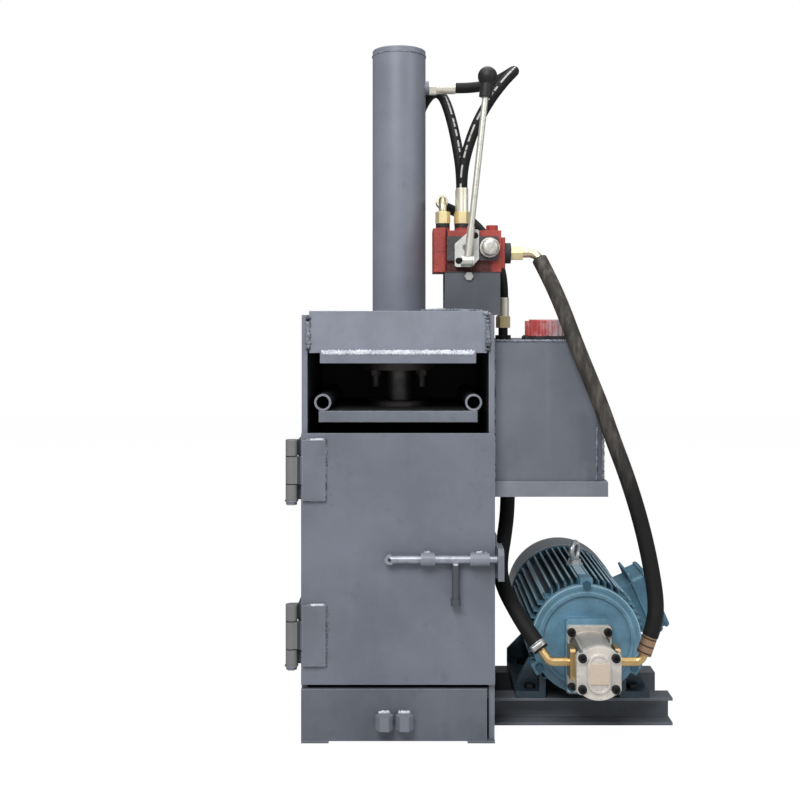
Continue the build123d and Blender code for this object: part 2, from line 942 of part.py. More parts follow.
# Cast valve body: tall outlet block on the left, spool block, ported top
with BuildPart() as valve_body:
    with Locations((valve_left, valve_front, valve_bottom)):
        Box(valve_end_width, valve_depth, valve_height, align=low_low_low)
    fillet(edges().filter_by(Axis.Z), valve_end_radius)
    with Locations((valve_left + valve_end_width, valve_front, valve_bottom)):
        Box(
            valve_width - valve_end_width,
            valve_depth,
            valve_height - valve_end_drop,
            align=low_low_low,
        )
    with Locations((valve_right, valve_front + end_plate, valve_bottom + end_plate)):
        Box(
            end_plate,
            valve_depth - 2 * end_plate,
            valve_height - 3 * end_plate,
            align=low_low_low,
        )
    with BuildSketch(level(valve_bottom + valve_height / 2)):
        with Locations((port_t_x, port_t_y), (port_a_x, port_y_front), (port_a_x, port_y_back)):
            Circle(port_ring_radius)
    extrude(amount=valve_height / 2 + port_ring_height)
    with BuildSketch(side_plane(valve_right + end_plate)):
        with Locations((pressure_y, pressure_z)):
            Circle(end_collar_radius)
    extrude(amount=end_collar)
    with BuildSketch(front_plane(valve_front)):
        with Locations((spool_x, spool_z)):
            Circle(spool_land_radius + running_fit)
    extrude(amount=-spool_land_length - spool_travel - spool_travel, mode=Mode.SUBTRACT)
save(valve_body, "valve_body")

# Machined front cover with the spool hole
with BuildPart() as valve_cover:
    cover_left = valve_left + valve_end_width
    with BuildSketch(front_plane(valve_front)):
        with Locations((cover_left, valve_bottom + cover_rise)):
            Rectangle(cover_width, cover_height, align=(Align.MIN, Align.MIN))
        with Locations((spool_x, spool_z)):
            Circle(spool_radius + running_fit, mode=Mode.SUBTRACT)
    extrude(amount=cover_thickness)
save(valve_cover, "valve_cover")

# Sliding spool with a rounded nose against the lever
with BuildPart() as valve_spool:
    nose_y = pivot_y + lever_socket_radius + spool_tip_gap + spool_radius
    with BuildSketch(front_plane(valve_front + spool_travel)):
        with Locations((spool_x, spool_z)):
            Circle(spool_land_radius)
    extrude(amount=-spool_land_length)
    with BuildSketch(front_plane(valve_front + spool_travel)):
        with Locations((spool_x, spool_z)):
            Circle(spool_radius)
    extrude(amount=valve_front + spool_travel - nose_y)
    with Locations((spool_x, nose_y, spool_z)):
        Sphere(spool_radius)
save(valve_spool, "valve_spool")

# Lever bracket: slanted two-lug plate, two ears and the pivot pin
with BuildPart() as lever_bracket:
    lug_rise = bracket_height / 2 - bracket_screw_inset
    lug_side = bracket_half_width - bracket_lobe / 2
    bracket_z = valve_bottom + cover_rise + cover_height / 2
    ear_inner = lever_boss_width / 2 + bracket_ear_gap
    with BuildSketch(front_plane(cover_front)):
        with BuildLine():
            Polyline(
                (spool_x - bracket_half_width, bracket_z - bracket_height / 2),
                (spool_x + bracket_half_width - bracket_lobe, bracket_z - bracket_height / 2),
                (spool_x + bracket_half_width, bracket_z - bracket_height / 2 + bracket_lobe),
                (spool_x + bracket_half_width, bracket_z + bracket_height / 2),
                (spool_x + bracket_half_width - bracket_lobe, bracket_z + bracket_height / 2),
                (spool_x - bracket_half_width, bracket_z + bracket_height / 2 - bracket_slant),
                close=True,
            )
        make_face()
        fillet(vertices(), bracket_round)
        with Locations((spool_x, spool_z)):
            Circle(spool_radius + bracket_ear_gap, mode=Mode.SUBTRACT)
    extrude(amount=bracket_thickness)
    for ear_left in (spool_x - ear_inner - bracket_ear, spool_x + ear_inner):
        with BuildSketch(side_plane(ear_left)):
            with Locations((pivot_y, pivot_z)):
                Circle(lever_boss_radius)
                Rectangle(
                    cover_front - pivot_y,
                    2 * lever_boss_radius,
                    align=(Align.MIN, Align.CENTER),
                )
        extrude(amount=bracket_ear)
    with BuildSketch(side_plane(spool_x - ear_inner)):
        with Locations((pivot_y, pivot_z)):
            Circle(lever_pin_radius)
    extrude(amount=2 * ear_inner)
    with BuildSketch(front_plane(cover_front - bracket_thickness)):
        for side in (-1, 1):
            with Locations((spool_x + side * lug_side, bracket_z + side * lug_rise)):
                Circle(bracket_screw_radius)
    extrude(amount=bracket_screw_head)
save(lever_bracket, "lever_bracket")

# Hand lever: pivot boss, socket and rod leaning to the right, with a ball knob
lever_plane = Plane(
    origin=(spool_x, pivot_y, pivot_z),
    x_dir=(0, 1, 0),
    z_dir=(math.sin(math.radians(lever_lean)), 0, math.cos(math.radians(lever_lean))),
)
with BuildPart() as hand_lever:
    with BuildSketch(side_plane(spool_x - lever_boss_width / 2)):
        with Locations((pivot_y, pivot_z)):
            Circle(lever_boss_radius)
    extrude(amount=lever_boss_width)
    with BuildSketch(lever_plane):
        Circle(lever_socket_radius)
    extrude(amount=lever_socket_length)
    with BuildSketch(lever_plane.offset(lever_socket_length)):
        Circle(lever_rod_radius)
    extrude(amount=lever_length - lever_socket_length)
    with BuildSketch(side_plane(spool_x - lever_boss_width / 2)):
        with Locations((pivot_y, pivot_z)):
            Circle(lever_pin_radius + running_fit)
    extrude(amount=lever_boss_width, mode=Mode.SUBTRACT)
save(hand_lever, "hand_lever")

with BuildPart() as lever_knob:
    ball_half = math.sqrt(knob_radius**2 - knob_neck_radius**2)
    with BuildSketch(lever_plane.offset(lever_length - knob_neck_length)):
        Circle(knob_neck_radius)
    extrude(amount=knob_neck_length + ball_half)
    with Locations(lever_plane.offset(lever_length + ball_half).location):
        Sphere(knob_radius)
    with BuildSketch(lever_plane.offset(lever_length - knob_neck_length)):
        Circle(lever_rod_radius)
    extrude(amount=knob_neck_length, mode=Mode.SUBTRACT)
save(lever_knob, "lever_knob")

# Relief valve: collar and domed chrome cap in front, hexagon plug on top
with BuildPart() as relief_valve:
    relief_z = valve_bottom + relief_rise
    with BuildSketch(front_plane(cover_front)):
        with Locations((relief_x, relief_z)):
            Circle(relief_collar_radius)
    extrude(amount=relief_collar)
    with BuildSketch(front_plane(cover_front - relief_collar)):
        with Locations((relief_x, relief_z)):
            Circle(relief_cap_radius)
    extrude(amount=relief_cap_length)
    fillet(edges().sort_by(Axis.Y)[0], relief_cap_length / 2)
    with BuildSketch(level(valve_top - valve_end_drop)):
        with Locations((relief_x + end_plate, port_t_y - end_plate)):
            RegularPolygon(relief_plug_flats / 2, 6, major_radius=False)
    extrude(amount=relief_plug_height)
save(relief_valve, "relief_valve")

# Brass union nuts on the valve ports, cylinder ports and tank return
barrel_face = barrel_radius + port_boss_length
pressure_face = valve_right + end_plate + end_collar
return_face = tank_top + nipple_rise
with BuildPart() as port_nuts:
    with BuildSketch(level(port_top)):
        with Locations((port_t_x, port_t_y), (port_a_x, port_y_front), (port_a_x, port_y_back)):
            RegularPolygon(nut_flats / 2, 6, major_radius=False)
    extrude(amount=nut_height)
    with BuildSketch(side_plane(barrel_face)):
        with Locations((0, cap_port_z)):
            RegularPolygon(nut_flats / 2, 6, major_radius=False)
    extrude(amount=cylinder_nut_height)
    with BuildSketch(front_plane(barrel_face)):
        with Locations((0, rod_port_z)):
            RegularPolygon(nut_flats / 2, 6, major_radius=False)
    extrude(amount=-cylinder_nut_height)
    with BuildSketch(side_plane(pressure_face)):
        with Locations((pressure_y, pressure_z)):
            RegularPolygon(nut_flats / 2, 6, major_radius=False)
    extrude(amount=nut_height)
    with BuildSketch(level(return_face)):
        with Locations((return_x, return_y)):
            RegularPolygon(nut_flats / 2, 6, major_radius=False)
    extrude(amount=nut_height)
save(port_nuts, "port_nuts")


def bent_tube(points, bend, radius):
    """Round bar along straight legs joined by equal bends."""
    with BuildPart() as tube:
        with BuildLine() as legs:
            FilletPolyline(*points, radius=bend)
        with BuildSketch(Plane(origin=legs.line @ 0, z_dir=legs.line % 0)):
            Circle(radius)
        sweep()
    return tube.part


return_elbow_top = nut_top + return_elbow_rise
return_elbow_end = port_t_y + return_elbow_reach
pressure_nut_end = pressure_face + nut_height
rod_elbow_start = barrel_face + cylinder_nut_height
rod_elbow_out = rod_elbow_start + elbow_bend + elbow_radius
rod_elbow_top = rod_port_z + 2 * elbow_bend + elbow_radius
port_z = pump_z + port_rise
port_out = pump_body_width / 2 + port_flange_thickness


def meet(route, start, end):
    """Moves a route set by hand so that its end runs meet their fittings."""
    start_move = Vector(*start) - Vector(*route[0])
    end_move = Vector(*end) - Vector(*route[-1])
    last = len(route) - 3
    moved = []
    for place, point in enumerate(route):
        share = min(max((place - 1) / last, 0), 1)
        at = Vector(*point) + start_move * (1 - share) + end_move * share
        moved.append((at.X, at.Y, at.Z))
    return moved


# Hose routes, from one fitting to the other
pressure_route = meet(
    (
        (259, -90.6, 853),
        (272, -106.6, 824),
        (293, -137, 768),
        (312, -163, 706),
        (334, -172, 648),
        (357, -178, 590),
        (376, -183, 533),
        (397, -188, 476),
        (414.5, -192, 420),
        (428.5, -197, 365),
        (438.5, -203, 312),
        (445, -209, 262),
        (443.3, -214, 225.5),
        (434, -214, 199),
    ),
    (
        pressure_nut_end + pressure_elbow_reach,
        pressure_y - pressure_elbow_forward,
        pressure_z - pressure_elbow_drop,
    ),
    (motor_x + outlet_reach, pump_mid, port_z + outlet_rise),
)
suction_route = meet(
    (
        (207, -20, 425),
        (207, -20, 385),
        (200, -36, 338),
        (190, -60, 298),
        (188, -88, 268),
        (195, -117, 248),
        (204, -146, 234),
        (215, -172, 217),
        (230, -192.7, 196),
        (248, -205, 172),
    ),
    (suction_x, suction_y, tank_bottom - suction_drop),
    (motor_x - inlet_reach, pump_mid + inlet_setback, port_z + inlet_rise),
)
ram_down_route = meet(
    (
        (108, 0, 1188),
        (136, 0, 1188),
        (166, 1, 1193),
        (193, 0, 1204),
        (211, -12, 1213),
        (219, -33, 1214),
        (213, -53, 1205),
        (196, -66, 1186),
        (170, -69, 1152),
        (147, -69, 1112),
        (130, -67, 1068),
        (118, -66, 1018),
        (118, -66, 987),
    ),
    (rod_elbow_start + cylinder_sleeve, 0, cap_port_z),
    (port_a_x, port_y_front, nut_top + sleeve_length),
)
ram_up_route = meet(
    (
        (0, 99, 782),
        (0, 99, 832),
        (3, 102, 902),
        (9, 104, 972),
        (16, 104, 1042),
        (26, 101, 1110),
        (42, 90, 1166),
        (64, 64, 1194),
        (84, 32, 1184),
        (99, 2, 1136),
        (111, -24, 1072),
        (118, -36, 1018),
        (118, -36, 987),
    ),
    (0, rod_elbow_out, rod_elbow_top + cylinder_sleeve),
    (port_a_x, port_y_back, nut_top + sleeve_length),
)
return_route = meet(
    (
        (82, 4, 967),
        (82, 34, 967),
        (97, 60, 963),
        (126, 71, 951),
        (156, 62, 926),
        (180, 40, 890),
        (194, 17, 850),
        (200, 0, 812),
        (200, 0, 785),
    ),
    (port_t_x, return_elbow_end + cylinder_sleeve, return_elbow_top),
    (return_x, return_y, return_face + nut_height + cylinder_sleeve),
)


def step_back(start, after, height):
    """Point on the line through a hose's end run, out past its end, at a height."""
    share = (height - start[2]) / (start[2] - after[2])
    return tuple(s + share * (s - a) for s, a in zip(start, after))


# Bent steel pipes: valve return, valve pressure and cylinder rod end elbows,
# then the pump's outlet and inlet tubes with their bolted port flanges
outlet_corner = step_back(pressure_route[-1], pressure_route[-2], port_z)
inlet_corner = step_back(suction_route[-1], suction_route[-2], port_z)
outlet_line = Vector(*pressure_route[-1]) - Vector(*outlet_corner)
outlet_axis = outlet_line.normalized()
sleeve_foot = Vector(*pressure_route[-1]) - outlet_axis * outlet_sleeve
with BuildPart() as bent_pipes:
    for radius, legs in (
        (
            elbow_radius,
            (
                (port_t_x, port_t_y, nut_top),
                (port_t_x, port_t_y, return_elbow_top),
                (port_t_x, return_elbow_end, return_elbow_top),
            ),
        ),
        (
            pressure_pipe_radius,
            (
                (pressure_nut_end, pressure_y, pressure_z),
                step_back(pressure_route[0], pressure_route[1], pressure_z),
                pressure_route[0],
            ),
        ),
        (
            elbow_radius,
            (
                (0, rod_elbow_start, rod_port_z),
                (0, rod_elbow_out, rod_port_z),
                (0, rod_elbow_out, rod_elbow_top),
            ),
        ),
    ):
        add(bent_tube(legs, elbow_bend, radius))
    for legs in (
        (
            (motor_x + port_out, pump_mid, port_z),
            outlet_corner,
            tuple(sleeve_foot),
        ),
        (
            suction_route[-1],
            inlet_corner,
            (motor_x - port_out, pump_mid, port_z),
        ),
    ):
        add(bent_tube(legs, port_bend, port_tube_radius))
    for side in (-1, 1):
        with BuildSketch(side_plane(motor_x + side * pump_body_width / 2)):
            with Locations((pump_mid, port_z)):
                RectangleRounded(port_flange_depth, port_flange_height, port_flange_round)
        extrude(amount=side * port_flange_thickness)
save(bent_pipes, "bent_pipes")

# Crimped sleeves at the ends of the pressure lines
with BuildPart() as hose_sleeves:
    for foot, way, length, radius in (
        ((port_a_x, port_y_front, nut_top), (0, 0, 1), sleeve_length, sleeve_radius),
        ((port_a_x, port_y_back, nut_top), (0, 0, 1), sleeve_length, sleeve_radius),
        ((rod_elbow_start, 0, cap_port_z), (1, 0, 0), cylinder_sleeve, sleeve_radius),
        ((0, rod_elbow_out, rod_elbow_top), (0, 0, 1), cylinder_sleeve, sleeve_radius),
        ((port_t_x, return_elbow_end, return_elbow_top), (0, 1, 0), cylinder_sleeve, sleeve_radius),
        ((return_x, return_y, return_face + nut_height), (0, 0, 1), cylinder_sleeve, sleeve_radius),
        (tuple(sleeve_foot), tuple(outlet_axis), outlet_sleeve, outlet_sleeve_radius),
    ):
        with BuildSketch(Plane(origin=foot, z_dir=way)):
            Circle(radius)
        extrude(amount=length)
save(hose_sleeves, "hose_sleeves")


def hose(name, route, diameter):
    """Round hose whose bends are as wide as their runs allow."""
    ends = [Vector(*point) for point in route]
    runs = [after - before for before, after in zip(ends, ends[1:])]
    radii = []
    for before, after in zip(runs, runs[1:]):
        half_turn = math.radians(before.get_angle(after)) / 2
        radii.append(bend_share * min(before.length, after.length) / math.tan(half_turn))
    with BuildPart() as tube:
        with BuildLine() as path:
            FilletPolyline(*route, radius=radii)
        with BuildSketch(Plane(origin=path.line @ 0, z_dir=path.line % 0)):
            Circle(diameter / 2)
        sweep()
    section = math.pi * diameter**2 / 4
    length = path.wire().length
    print(name, "length", round(length, 1), "radii", [round(r) for r in radii])
    print(name, "volume share", round(tube.part.volume / section / length, 4))
    save(tube, name)


hose("pressure_hose", pressure_route, pressure_hose_diameter)
hose("suction_hose", suction_route, suction_hose_diameter)
hose("ram_down_hose", ram_down_route, ram_hose_diameter)
hose("ram_up_hose", ram_up_route, ram_hose_diameter)
hose("return_hose", return_route, ram_hose_diameter)

# Band clamps on both ends of the suction hose, each with a worm screw
with BuildPart() as hose_clamps:
    clamp_inner = suction_hose_diameter / 2 + running_fit
    for end, inside in (
        (suction_route[0], suction_route[1]),
        (suction_route[-1], suction_route[-2]),
    ):
        along = (Vector(*inside) - Vector(*end)).normalized()
        band = Plane(origin=Vector(*end) + along * clamp_inset, z_dir=along)
        with BuildSketch(band):
            Circle(clamp_inner + clamp_thickness)
            Circle(clamp_inner, mode=Mode.SUBTRACT)
        extrude(amount=clamp_width)
        with BuildSketch(Plane(origin=band.origin, x_dir=band.z_dir, z_dir=band.x_dir)):
            with Locations((clamp_width / 2, clamp_inner + clamp_thickness + clamp_screw_radius / 2)):
                Circle(clamp_screw_radius)
        extrude(amount=clamp_screw_length / 2, both=True)
        with BuildSketch(band):
            Circle(clamp_inner)
        extrude(amount=clamp_width, mode=Mode.SUBTRACT)
save(hose_clamps, "hose_clamps")

# Two channels on the floor: the front one opens forward, the rear one backward
front_feet_y = motor_feet_center - motor_feet_y / 2
rear_feet_y = motor_feet_center + motor_feet_y / 2
with BuildPart() as motor_beams:
    for feet_y, turn in ((front_feet_y, -1), (rear_feet_y, 1)):
        web = feet_y - turn * beam_depth / 2
        with BuildSketch(side_plane(half_width)):
            with BuildLine():
                Polyline(
                    (web, 0),
                    (web + turn * beam_depth, 0),
                    (web + turn * beam_depth, beam_sheet),
                    (web + turn * beam_sheet, beam_sheet),
                    (web + turn * beam_sheet, beam_height - beam_sheet),
                    (web + turn * beam_depth, beam_height - beam_sheet),
                    (web + turn * beam_depth, beam_height),
                    (web, beam_height),
                    close=True,
                )
            make_face()
        extrude(amount=beam_length)
save(motor_beams, "motor_beams")

# Finned motor frame with feet, a terminal pad, an eye boss and its rib
with BuildPart() as motor_frame:
    with BuildSketch(front_plane(motor_back)):
        with Locations((motor_x, motor_z)):
            Circle(motor_shell_radius)
            for fin in range(-fins_each_side, fins_each_side + 1):
                reach = math.sqrt(fin_radius**2 - (fin * fin_pitch) ** 2)
                with Locations((fin * fin_pitch, 0)):
                    Rectangle(fin_width, reach, align=(Align.CENTER, Align.MIN))
                with Locations((0, fin * fin_pitch)):
                    Rectangle(2 * reach, fin_width)
    extrude(amount=motor_length)
    for side in (-1, 1):
        pad = motor_x + side * motor_feet_x / 2
        root = pad - side * foot_width / 2
        tip = pad + side * foot_width / 2
        foot_bar = motor_feet_y + foot_depth
        with Locations((pad, motor_feet_center, beam_height)):
            Box(foot_width, foot_bar, foot_thickness, align=centred_low)
        with Locations((root + side * foot_web / 2, motor_feet_center, beam_height)):
            Box(foot_web, foot_bar, foot_root_height, align=centred_low)
        for feet_y, tip_height in ((front_feet_y, foot_thickness), (rear_feet_y, foot_block)):
            with BuildSketch(front_plane(feet_y + foot_depth / 2)):
                with BuildLine():
                    Polyline(
                        (root, beam_height),
                        (tip, beam_height),
                        (tip, beam_height + tip_height),
                        (pad, beam_height + foot_root_height),
                        (root, beam_height + foot_root_height),
                        close=True,
                    )
                make_face()
            extrude(amount=foot_gusset)
    with BuildSketch(box_plane):
        Rectangle(box_depth - box_neck, box_height - box_neck)
    extrude(amount=box_seat)
    with BuildSketch(level(motor_z)):
        with Locations((motor_x, eye_y)):
            Circle(eye_boss_radius)
        with Locations((motor_x, motor_front)):
            Rectangle(eye_boss_radius, eye_y - motor_front, align=(Align.CENTER, Align.MIN))
    extrude(amount=fin_radius)
    with BuildSketch(front_plane(motor_front + shield_lug)):
        with Locations((motor_x, motor_z)):
            with PolarLocations(shield_radius, shield_lugs, shield_lug_start):
                Rectangle(shield_lug, shield_lug)
    extrude(amount=shield_lug)
    with BuildSketch(front_plane(motor_back)):
        with Locations((motor_x, motor_z)):
            Circle(motor_shell_radius - motor_shell_wall)
    extrude(amount=motor_length, mode=Mode.SUBTRACT)
save(motor_frame, "motor_frame")

# Front shield: rim with four lugs, raised ring, pump pad and bearing hub
with BuildPart() as front_shield:
    with BuildSketch(front_plane(motor_front)):
        with Locations((motor_x, motor_z)):
            Circle(shield_radius)
            with PolarLocations(shield_radius, shield_lugs, shield_lug_start):
                Rectangle(shield_lug, shield_lug)
    extrude(amount=shield_rim)
    with BuildSketch(front_plane(shield_front)):
        with Locations((motor_x, motor_z)):
            Circle(shield_ring_radius)
            Circle(shield_ring_radius - shield_ring_width, mode=Mode.SUBTRACT)
    extrude(amount=shield_ring_height)
    with BuildSketch(front_plane(shield_front)):
        with Locations((motor_x, motor_z + (pad_rise - pad_drop) / 2)):
            RectangleRounded(pad_width, pad_rise + pad_drop, pad_round)
    extrude(amount=pad_depth)
    with BuildSketch(front_plane(motor_front)):
        with Locations((motor_x, motor_z)):
            Circle(shield_hub_radius)
    extrude(amount=-shield_hub_depth)
    with BuildSketch(front_plane(motor_front + shield_hub_depth)):
        with Locations((motor_x, motor_z)):
            Circle(shaft_radius + running_fit)
    extrude(amount=shield_hub_depth + shield_rim + pad_depth, mode=Mode.SUBTRACT)
save(front_shield, "front_shield")

with BuildPart() as rear_shield:
    with BuildSketch(front_plane(motor_back + rear_shield_wall)):
        with Locations((motor_x, motor_z)):
            Circle(cowl_radius - cowl_sheet - cowl_seat)
    extrude(amount=rear_shield_wall)
    with BuildSketch(front_plane(motor_back)):
        with Locations((motor_x, motor_z)):
            Circle(shield_hub_radius)
    extrude(amount=shield_hub_depth)
    with BuildSketch(front_plane(motor_back + rear_shield_wall)):
        with Locations((motor_x, motor_z)):
            Circle(shaft_radius + running_fit)
    extrude(amount=rear_shield_wall + shield_hub_depth, mode=Mode.SUBTRACT)
save(rear_shield, "rear_shield")

# Fan cowl: drawn sheet cup with slots in rings at the back
cowl_front = motor_back + rear_shield_wall - cowl_overlap
cowl_back = cowl_front + cowl_length
with BuildPart() as fan_cowl:
    with BuildSketch(front_plane(cowl_back)):
        with Locations((motor_x, motor_z)):
            Circle(cowl_radius)
    extrude(amount=cowl_length)
    fillet(edges().sort_by(Axis.Y)[-1], cowl_round)
    offset(amount=-cowl_sheet, openings=faces().sort_by(Axis.Y)[0])
    ring_pitch = (cowl_radius - cowl_round - cowl_sheet) / grille_rings
    with BuildSketch(front_plane(cowl_back)):
        with Locations((motor_x, motor_z)):
            for ring in range(1, grille_rings + 1):
                Circle(ring * ring_pitch)
                Circle(ring * ring_pitch - grille_slot_width, mode=Mode.SUBTRACT)
            with PolarLocations(0, grille_spokes):
                Rectangle(
                    cowl_radius,
                    grille_spoke_width,
                    align=(Align.MIN, Align.CENTER),
                    mode=Mode.SUBTRACT,
                )
    extrude(amount=cowl_sheet + overrun, mode=Mode.SUBTRACT)
save(fan_cowl, "fan_cowl")

# Rotor, stator core and fan on one shaft
with BuildPart() as motor_rotor:
    with BuildSketch(front_plane(cowl_back - cowl_sheet - fan_tail_gap)):
        with Locations((motor_x, motor_z)):
            Circle(shaft_radius)
    extrude(amount=cowl_back - cowl_sheet - fan_tail_gap - pad_front - shaft_end_gap)
    with BuildSketch(front_plane((motor_front + motor_back + rotor_length) / 2)):
        with Locations((motor_x, motor_z)):
            Circle(rotor_radius)
    extrude(amount=rotor_length)
save(motor_rotor, "motor_rotor")

with BuildPart() as motor_stator:
    with BuildSketch(front_plane((motor_front + motor_back + stator_length) / 2)):
        with Locations((motor_x, motor_z)):
            Circle(motor_shell_radius - motor_shell_wall - stator_outer_gap)
            Circle(rotor_radius + stator_air_gap, mode=Mode.SUBTRACT)
    extrude(amount=stator_length)
save(motor_stator, "motor_stator")

with BuildPart() as cooling_fan:
    fan_back = cowl_back - cowl_sheet - fan_tail_gap - fan_hub_length / 2
    with BuildSketch(front_plane(fan_back)):
        with Locations((motor_x, motor_z)):
            Circle(fan_hub_radius)
    extrude(amount=fan_hub_length)
    with BuildSketch(front_plane(fan_back)):
        with Locations((motor_x, motor_z)):
            Circle(fan_radius)
    extrude(amount=fan_disc)
    with BuildSketch(front_plane(fan_back - fan_disc)):
        with Locations((motor_x, motor_z)):
            with PolarLocations((fan_hub_radius + fan_radius) / 2, fan_blades):
                Rectangle(fan_radius - fan_hub_radius, fan_blade_thickness)
    extrude(amount=fan_blade_depth)
    with BuildSketch(front_plane(fan_back)):
        with Locations((motor_x, motor_z)):
            Circle(shaft_radius + running_fit)
    extrude(amount=fan_hub_length + fan_blade_depth, mode=Mode.SUBTRACT)
save(cooling_fan, "cooling_fan")

# Terminal box with a screwed lid and a cable gland underneath
with BuildPart() as terminal_box:
    with BuildSketch(box_plane.offset(box_seat)):
        RectangleRounded(box_depth, box_height + 2 * box_flange_lip, box_round)
    extrude(amount=box_flange)
    with BuildSketch(box_plane.offset(box_seat + box_flange)):
        RectangleRounded(box_depth, box_height, box_round)
    extrude(amount=box_width - box_flange - box_lid)
    gland_foot = box_plane.from_local_coords((0, -box_height / 2, box_seat + (box_width - box_lid) / 2))
    with BuildSketch(Plane(origin=gland_foot, z_dir=-box_plane.y_dir)):
        RegularPolygon(cable_gland_flats / 2, 6, major_radius=False)
    extrude(amount=cable_gland_length)
save(terminal_box, "terminal_box")

with BuildPart() as terminal_lid:
    with BuildSketch(box_plane.offset(box_seat + box_width - box_lid)):
        RectangleRounded(
            box_depth + 2 * box_lid_lip,
            box_height + 2 * box_lid_lip,
            box_round + box_lid_lip,
        )
    extrude(amount=box_lid)
    chamfer(faces().sort_by(Axis(box_plane.origin, box_plane.z_dir))[-1].edges(), box_lid_lip)
save(terminal_lid, "terminal_lid")

# Lifting eye on the frame's boss
with BuildPart() as eye_bolt:
    eye_foot = motor_z + fin_radius
    eye_center = eye_foot + eye_collar + eye_ring_radius
    with BuildSketch(level(eye_foot)):
        with Locations((motor_x, eye_y)):
            Circle(eye_collar_radius)
    extrude(amount=eye_collar, taper=10)
    eye_way = Vector(0, -1, 0).rotate(Axis.Z, eye_turn)
    with Locations(Plane(origin=(motor_x, eye_y, eye_center), z_dir=eye_way).location):
        Torus(eye_ring_radius, eye_wire)
save(eye_bolt, "eye_bolt")

# Gear pump: hourglass mounting flange and rounded body in one casting
with BuildPart() as pump_body:
    half_flange = flange_width / 2
    half_rise = flange_height / 2
    flange_z = motor_z - flange_drop
    with BuildSketch(front_plane(pad_front)):
        with BuildLine():
            Polyline(
                (motor_x - half_flange, flange_z + half_rise),
                (motor_x + half_flange, flange_z + half_rise),
                (motor_x + half_flange, flange_z + half_rise * flange_ear_share),
                (motor_x + half_flange * flange_waist_share, flange_z),
                (motor_x + half_flange, flange_z - half_rise * flange_ear_share),
                (motor_x + half_flange, flange_z - half_rise),
                (motor_x - half_flange, flange_z - half_rise),
                (motor_x - half_flange, flange_z - half_rise * flange_ear_share),
                (motor_x - half_flange * flange_waist_share, flange_z),
                (motor_x - half_flange, flange_z + half_rise * flange_ear_share),
                close=True,
            )
        make_face()
        fillet(vertices(), flange_round)
    extrude(amount=flange_thickness)
    with BuildSketch(front_plane(flange_front)):
        with Locations((motor_x, pump_z)):
            RectangleRounded(pump_body_width, pump_body_height, pump_body_round)
    extrude(amount=pump_body_length)
    with BuildSketch(front_plane(pad_front)):
        with Locations((motor_x, flange_z)):
            with GridLocations(flange_bolt_x, flange_bolt_z, 2, 2):
                Circle(flange_bolt_radius)
    extrude(amount=flange_thickness, mode=Mode.SUBTRACT)
save(pump_body, "pump_body")

# End cover: bolted rectangle with an arch top and foot, raised centre panel
with BuildPart() as pump_cover:
    with BuildSketch(front_plane(pump_cover_back)):
        with Locations((motor_x, pump_z)):
            Circle(pump_arch_radius)
            Rectangle(pump_bolt_x, 2 * pump_arch_radius, mode=Mode.INTERSECT)
            RectangleRounded(
                pump_cover_width,
                pump_bolt_z + pump_cover_width - pump_bolt_x,
                pump_cover_round,
            )
    extrude(amount=pump_cover_thickness)
    with BuildSketch(front_plane(pump_cover_front)):
        with Locations((motor_x, pump_z)):
            SlotOverall(panel_height, panel_width, rotation=90)
    extrude(amount=panel_rise)
    with BuildSketch(front_plane(pump_cover_front - panel_rise)):
        with Locations((motor_x, pump_z)):
            SlotOverall(
                panel_height - panel_width + panel_recess_width,
                panel_recess_width,
                rotation=90,
            )
            Rectangle(panel_width, panel_recess_height, mode=Mode.SUBTRACT)
    extrude(amount=-panel_recess, mode=Mode.SUBTRACT)
save(pump_cover, "pump_cover")

# Hexagon bolts of the motor feet and shield lugs, socket screws of the pump
with BuildPart() as drive_bolts:
    with BuildSketch(level(beam_height + foot_thickness)):
        for feet_y in (front_feet_y, rear_feet_y):
            with Locations((motor_x, feet_y)):
                with GridLocations(motor_feet_x, 0, 2, 1):
                    RegularPolygon(foot_bolt_flats / 2, 6, major_radius=False)
    extrude(amount=foot_bolt_head)
    with BuildSketch(front_plane(shield_front)):
        with Locations((motor_x, motor_z)):
            with PolarLocations(shield_radius, shield_lugs, shield_lug_start):
                RegularPolygon(lug_bolt_flats / 2, 6, major_radius=False)
    extrude(amount=lug_bolt_head)
    with BuildSketch(front_plane(flange_front)):
        with Locations((motor_x, flange_z)):
            with GridLocations(flange_bolt_x, flange_bolt_z, 2, 2):
                Circle(socket_head_radius)
    extrude(amount=socket_head_height)
    with BuildSketch(front_plane(pad_front)):
        with Locations((motor_x, flange_z)):
            with GridLocations(flange_bolt_x, flange_bolt_z, 2, 2):
                Circle(flange_bolt_radius - bolt_clearance)
    extrude(amount=flange_thickness)
    with BuildSketch(front_plane(pump_cover_front)):
        with Locations((motor_x, pump_z)):
            with GridLocations(pump_bolt_x, pump_bolt_z, 2, 2):
                Circle(socket_head_radius)
    extrude(amount=socket_head_height)
    for head_front, center_z, span_x, span_z in (
        (flange_front - socket_head_height, flange_z, flange_bolt_x, flange_bolt_z),
        (pump_cover_front - socket_head_height, pump_z, pump_bolt_x, pump_bolt_z),
    ):
        with BuildSketch(front_plane(head_front)):
            with Locations((motor_x, center_z)):
                with GridLocations(span_x, span_z, 2, 2):
                    RegularPolygon(socket_hex_flats / 2, 6, major_radius=False)
        extrude(amount=-socket_hex_depth, mode=Mode.SUBTRACT)
save(drive_bolts, "drive_bolts")
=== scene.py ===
import math
import random

import bmesh
import bpy
from mathutils import Matrix, Vector


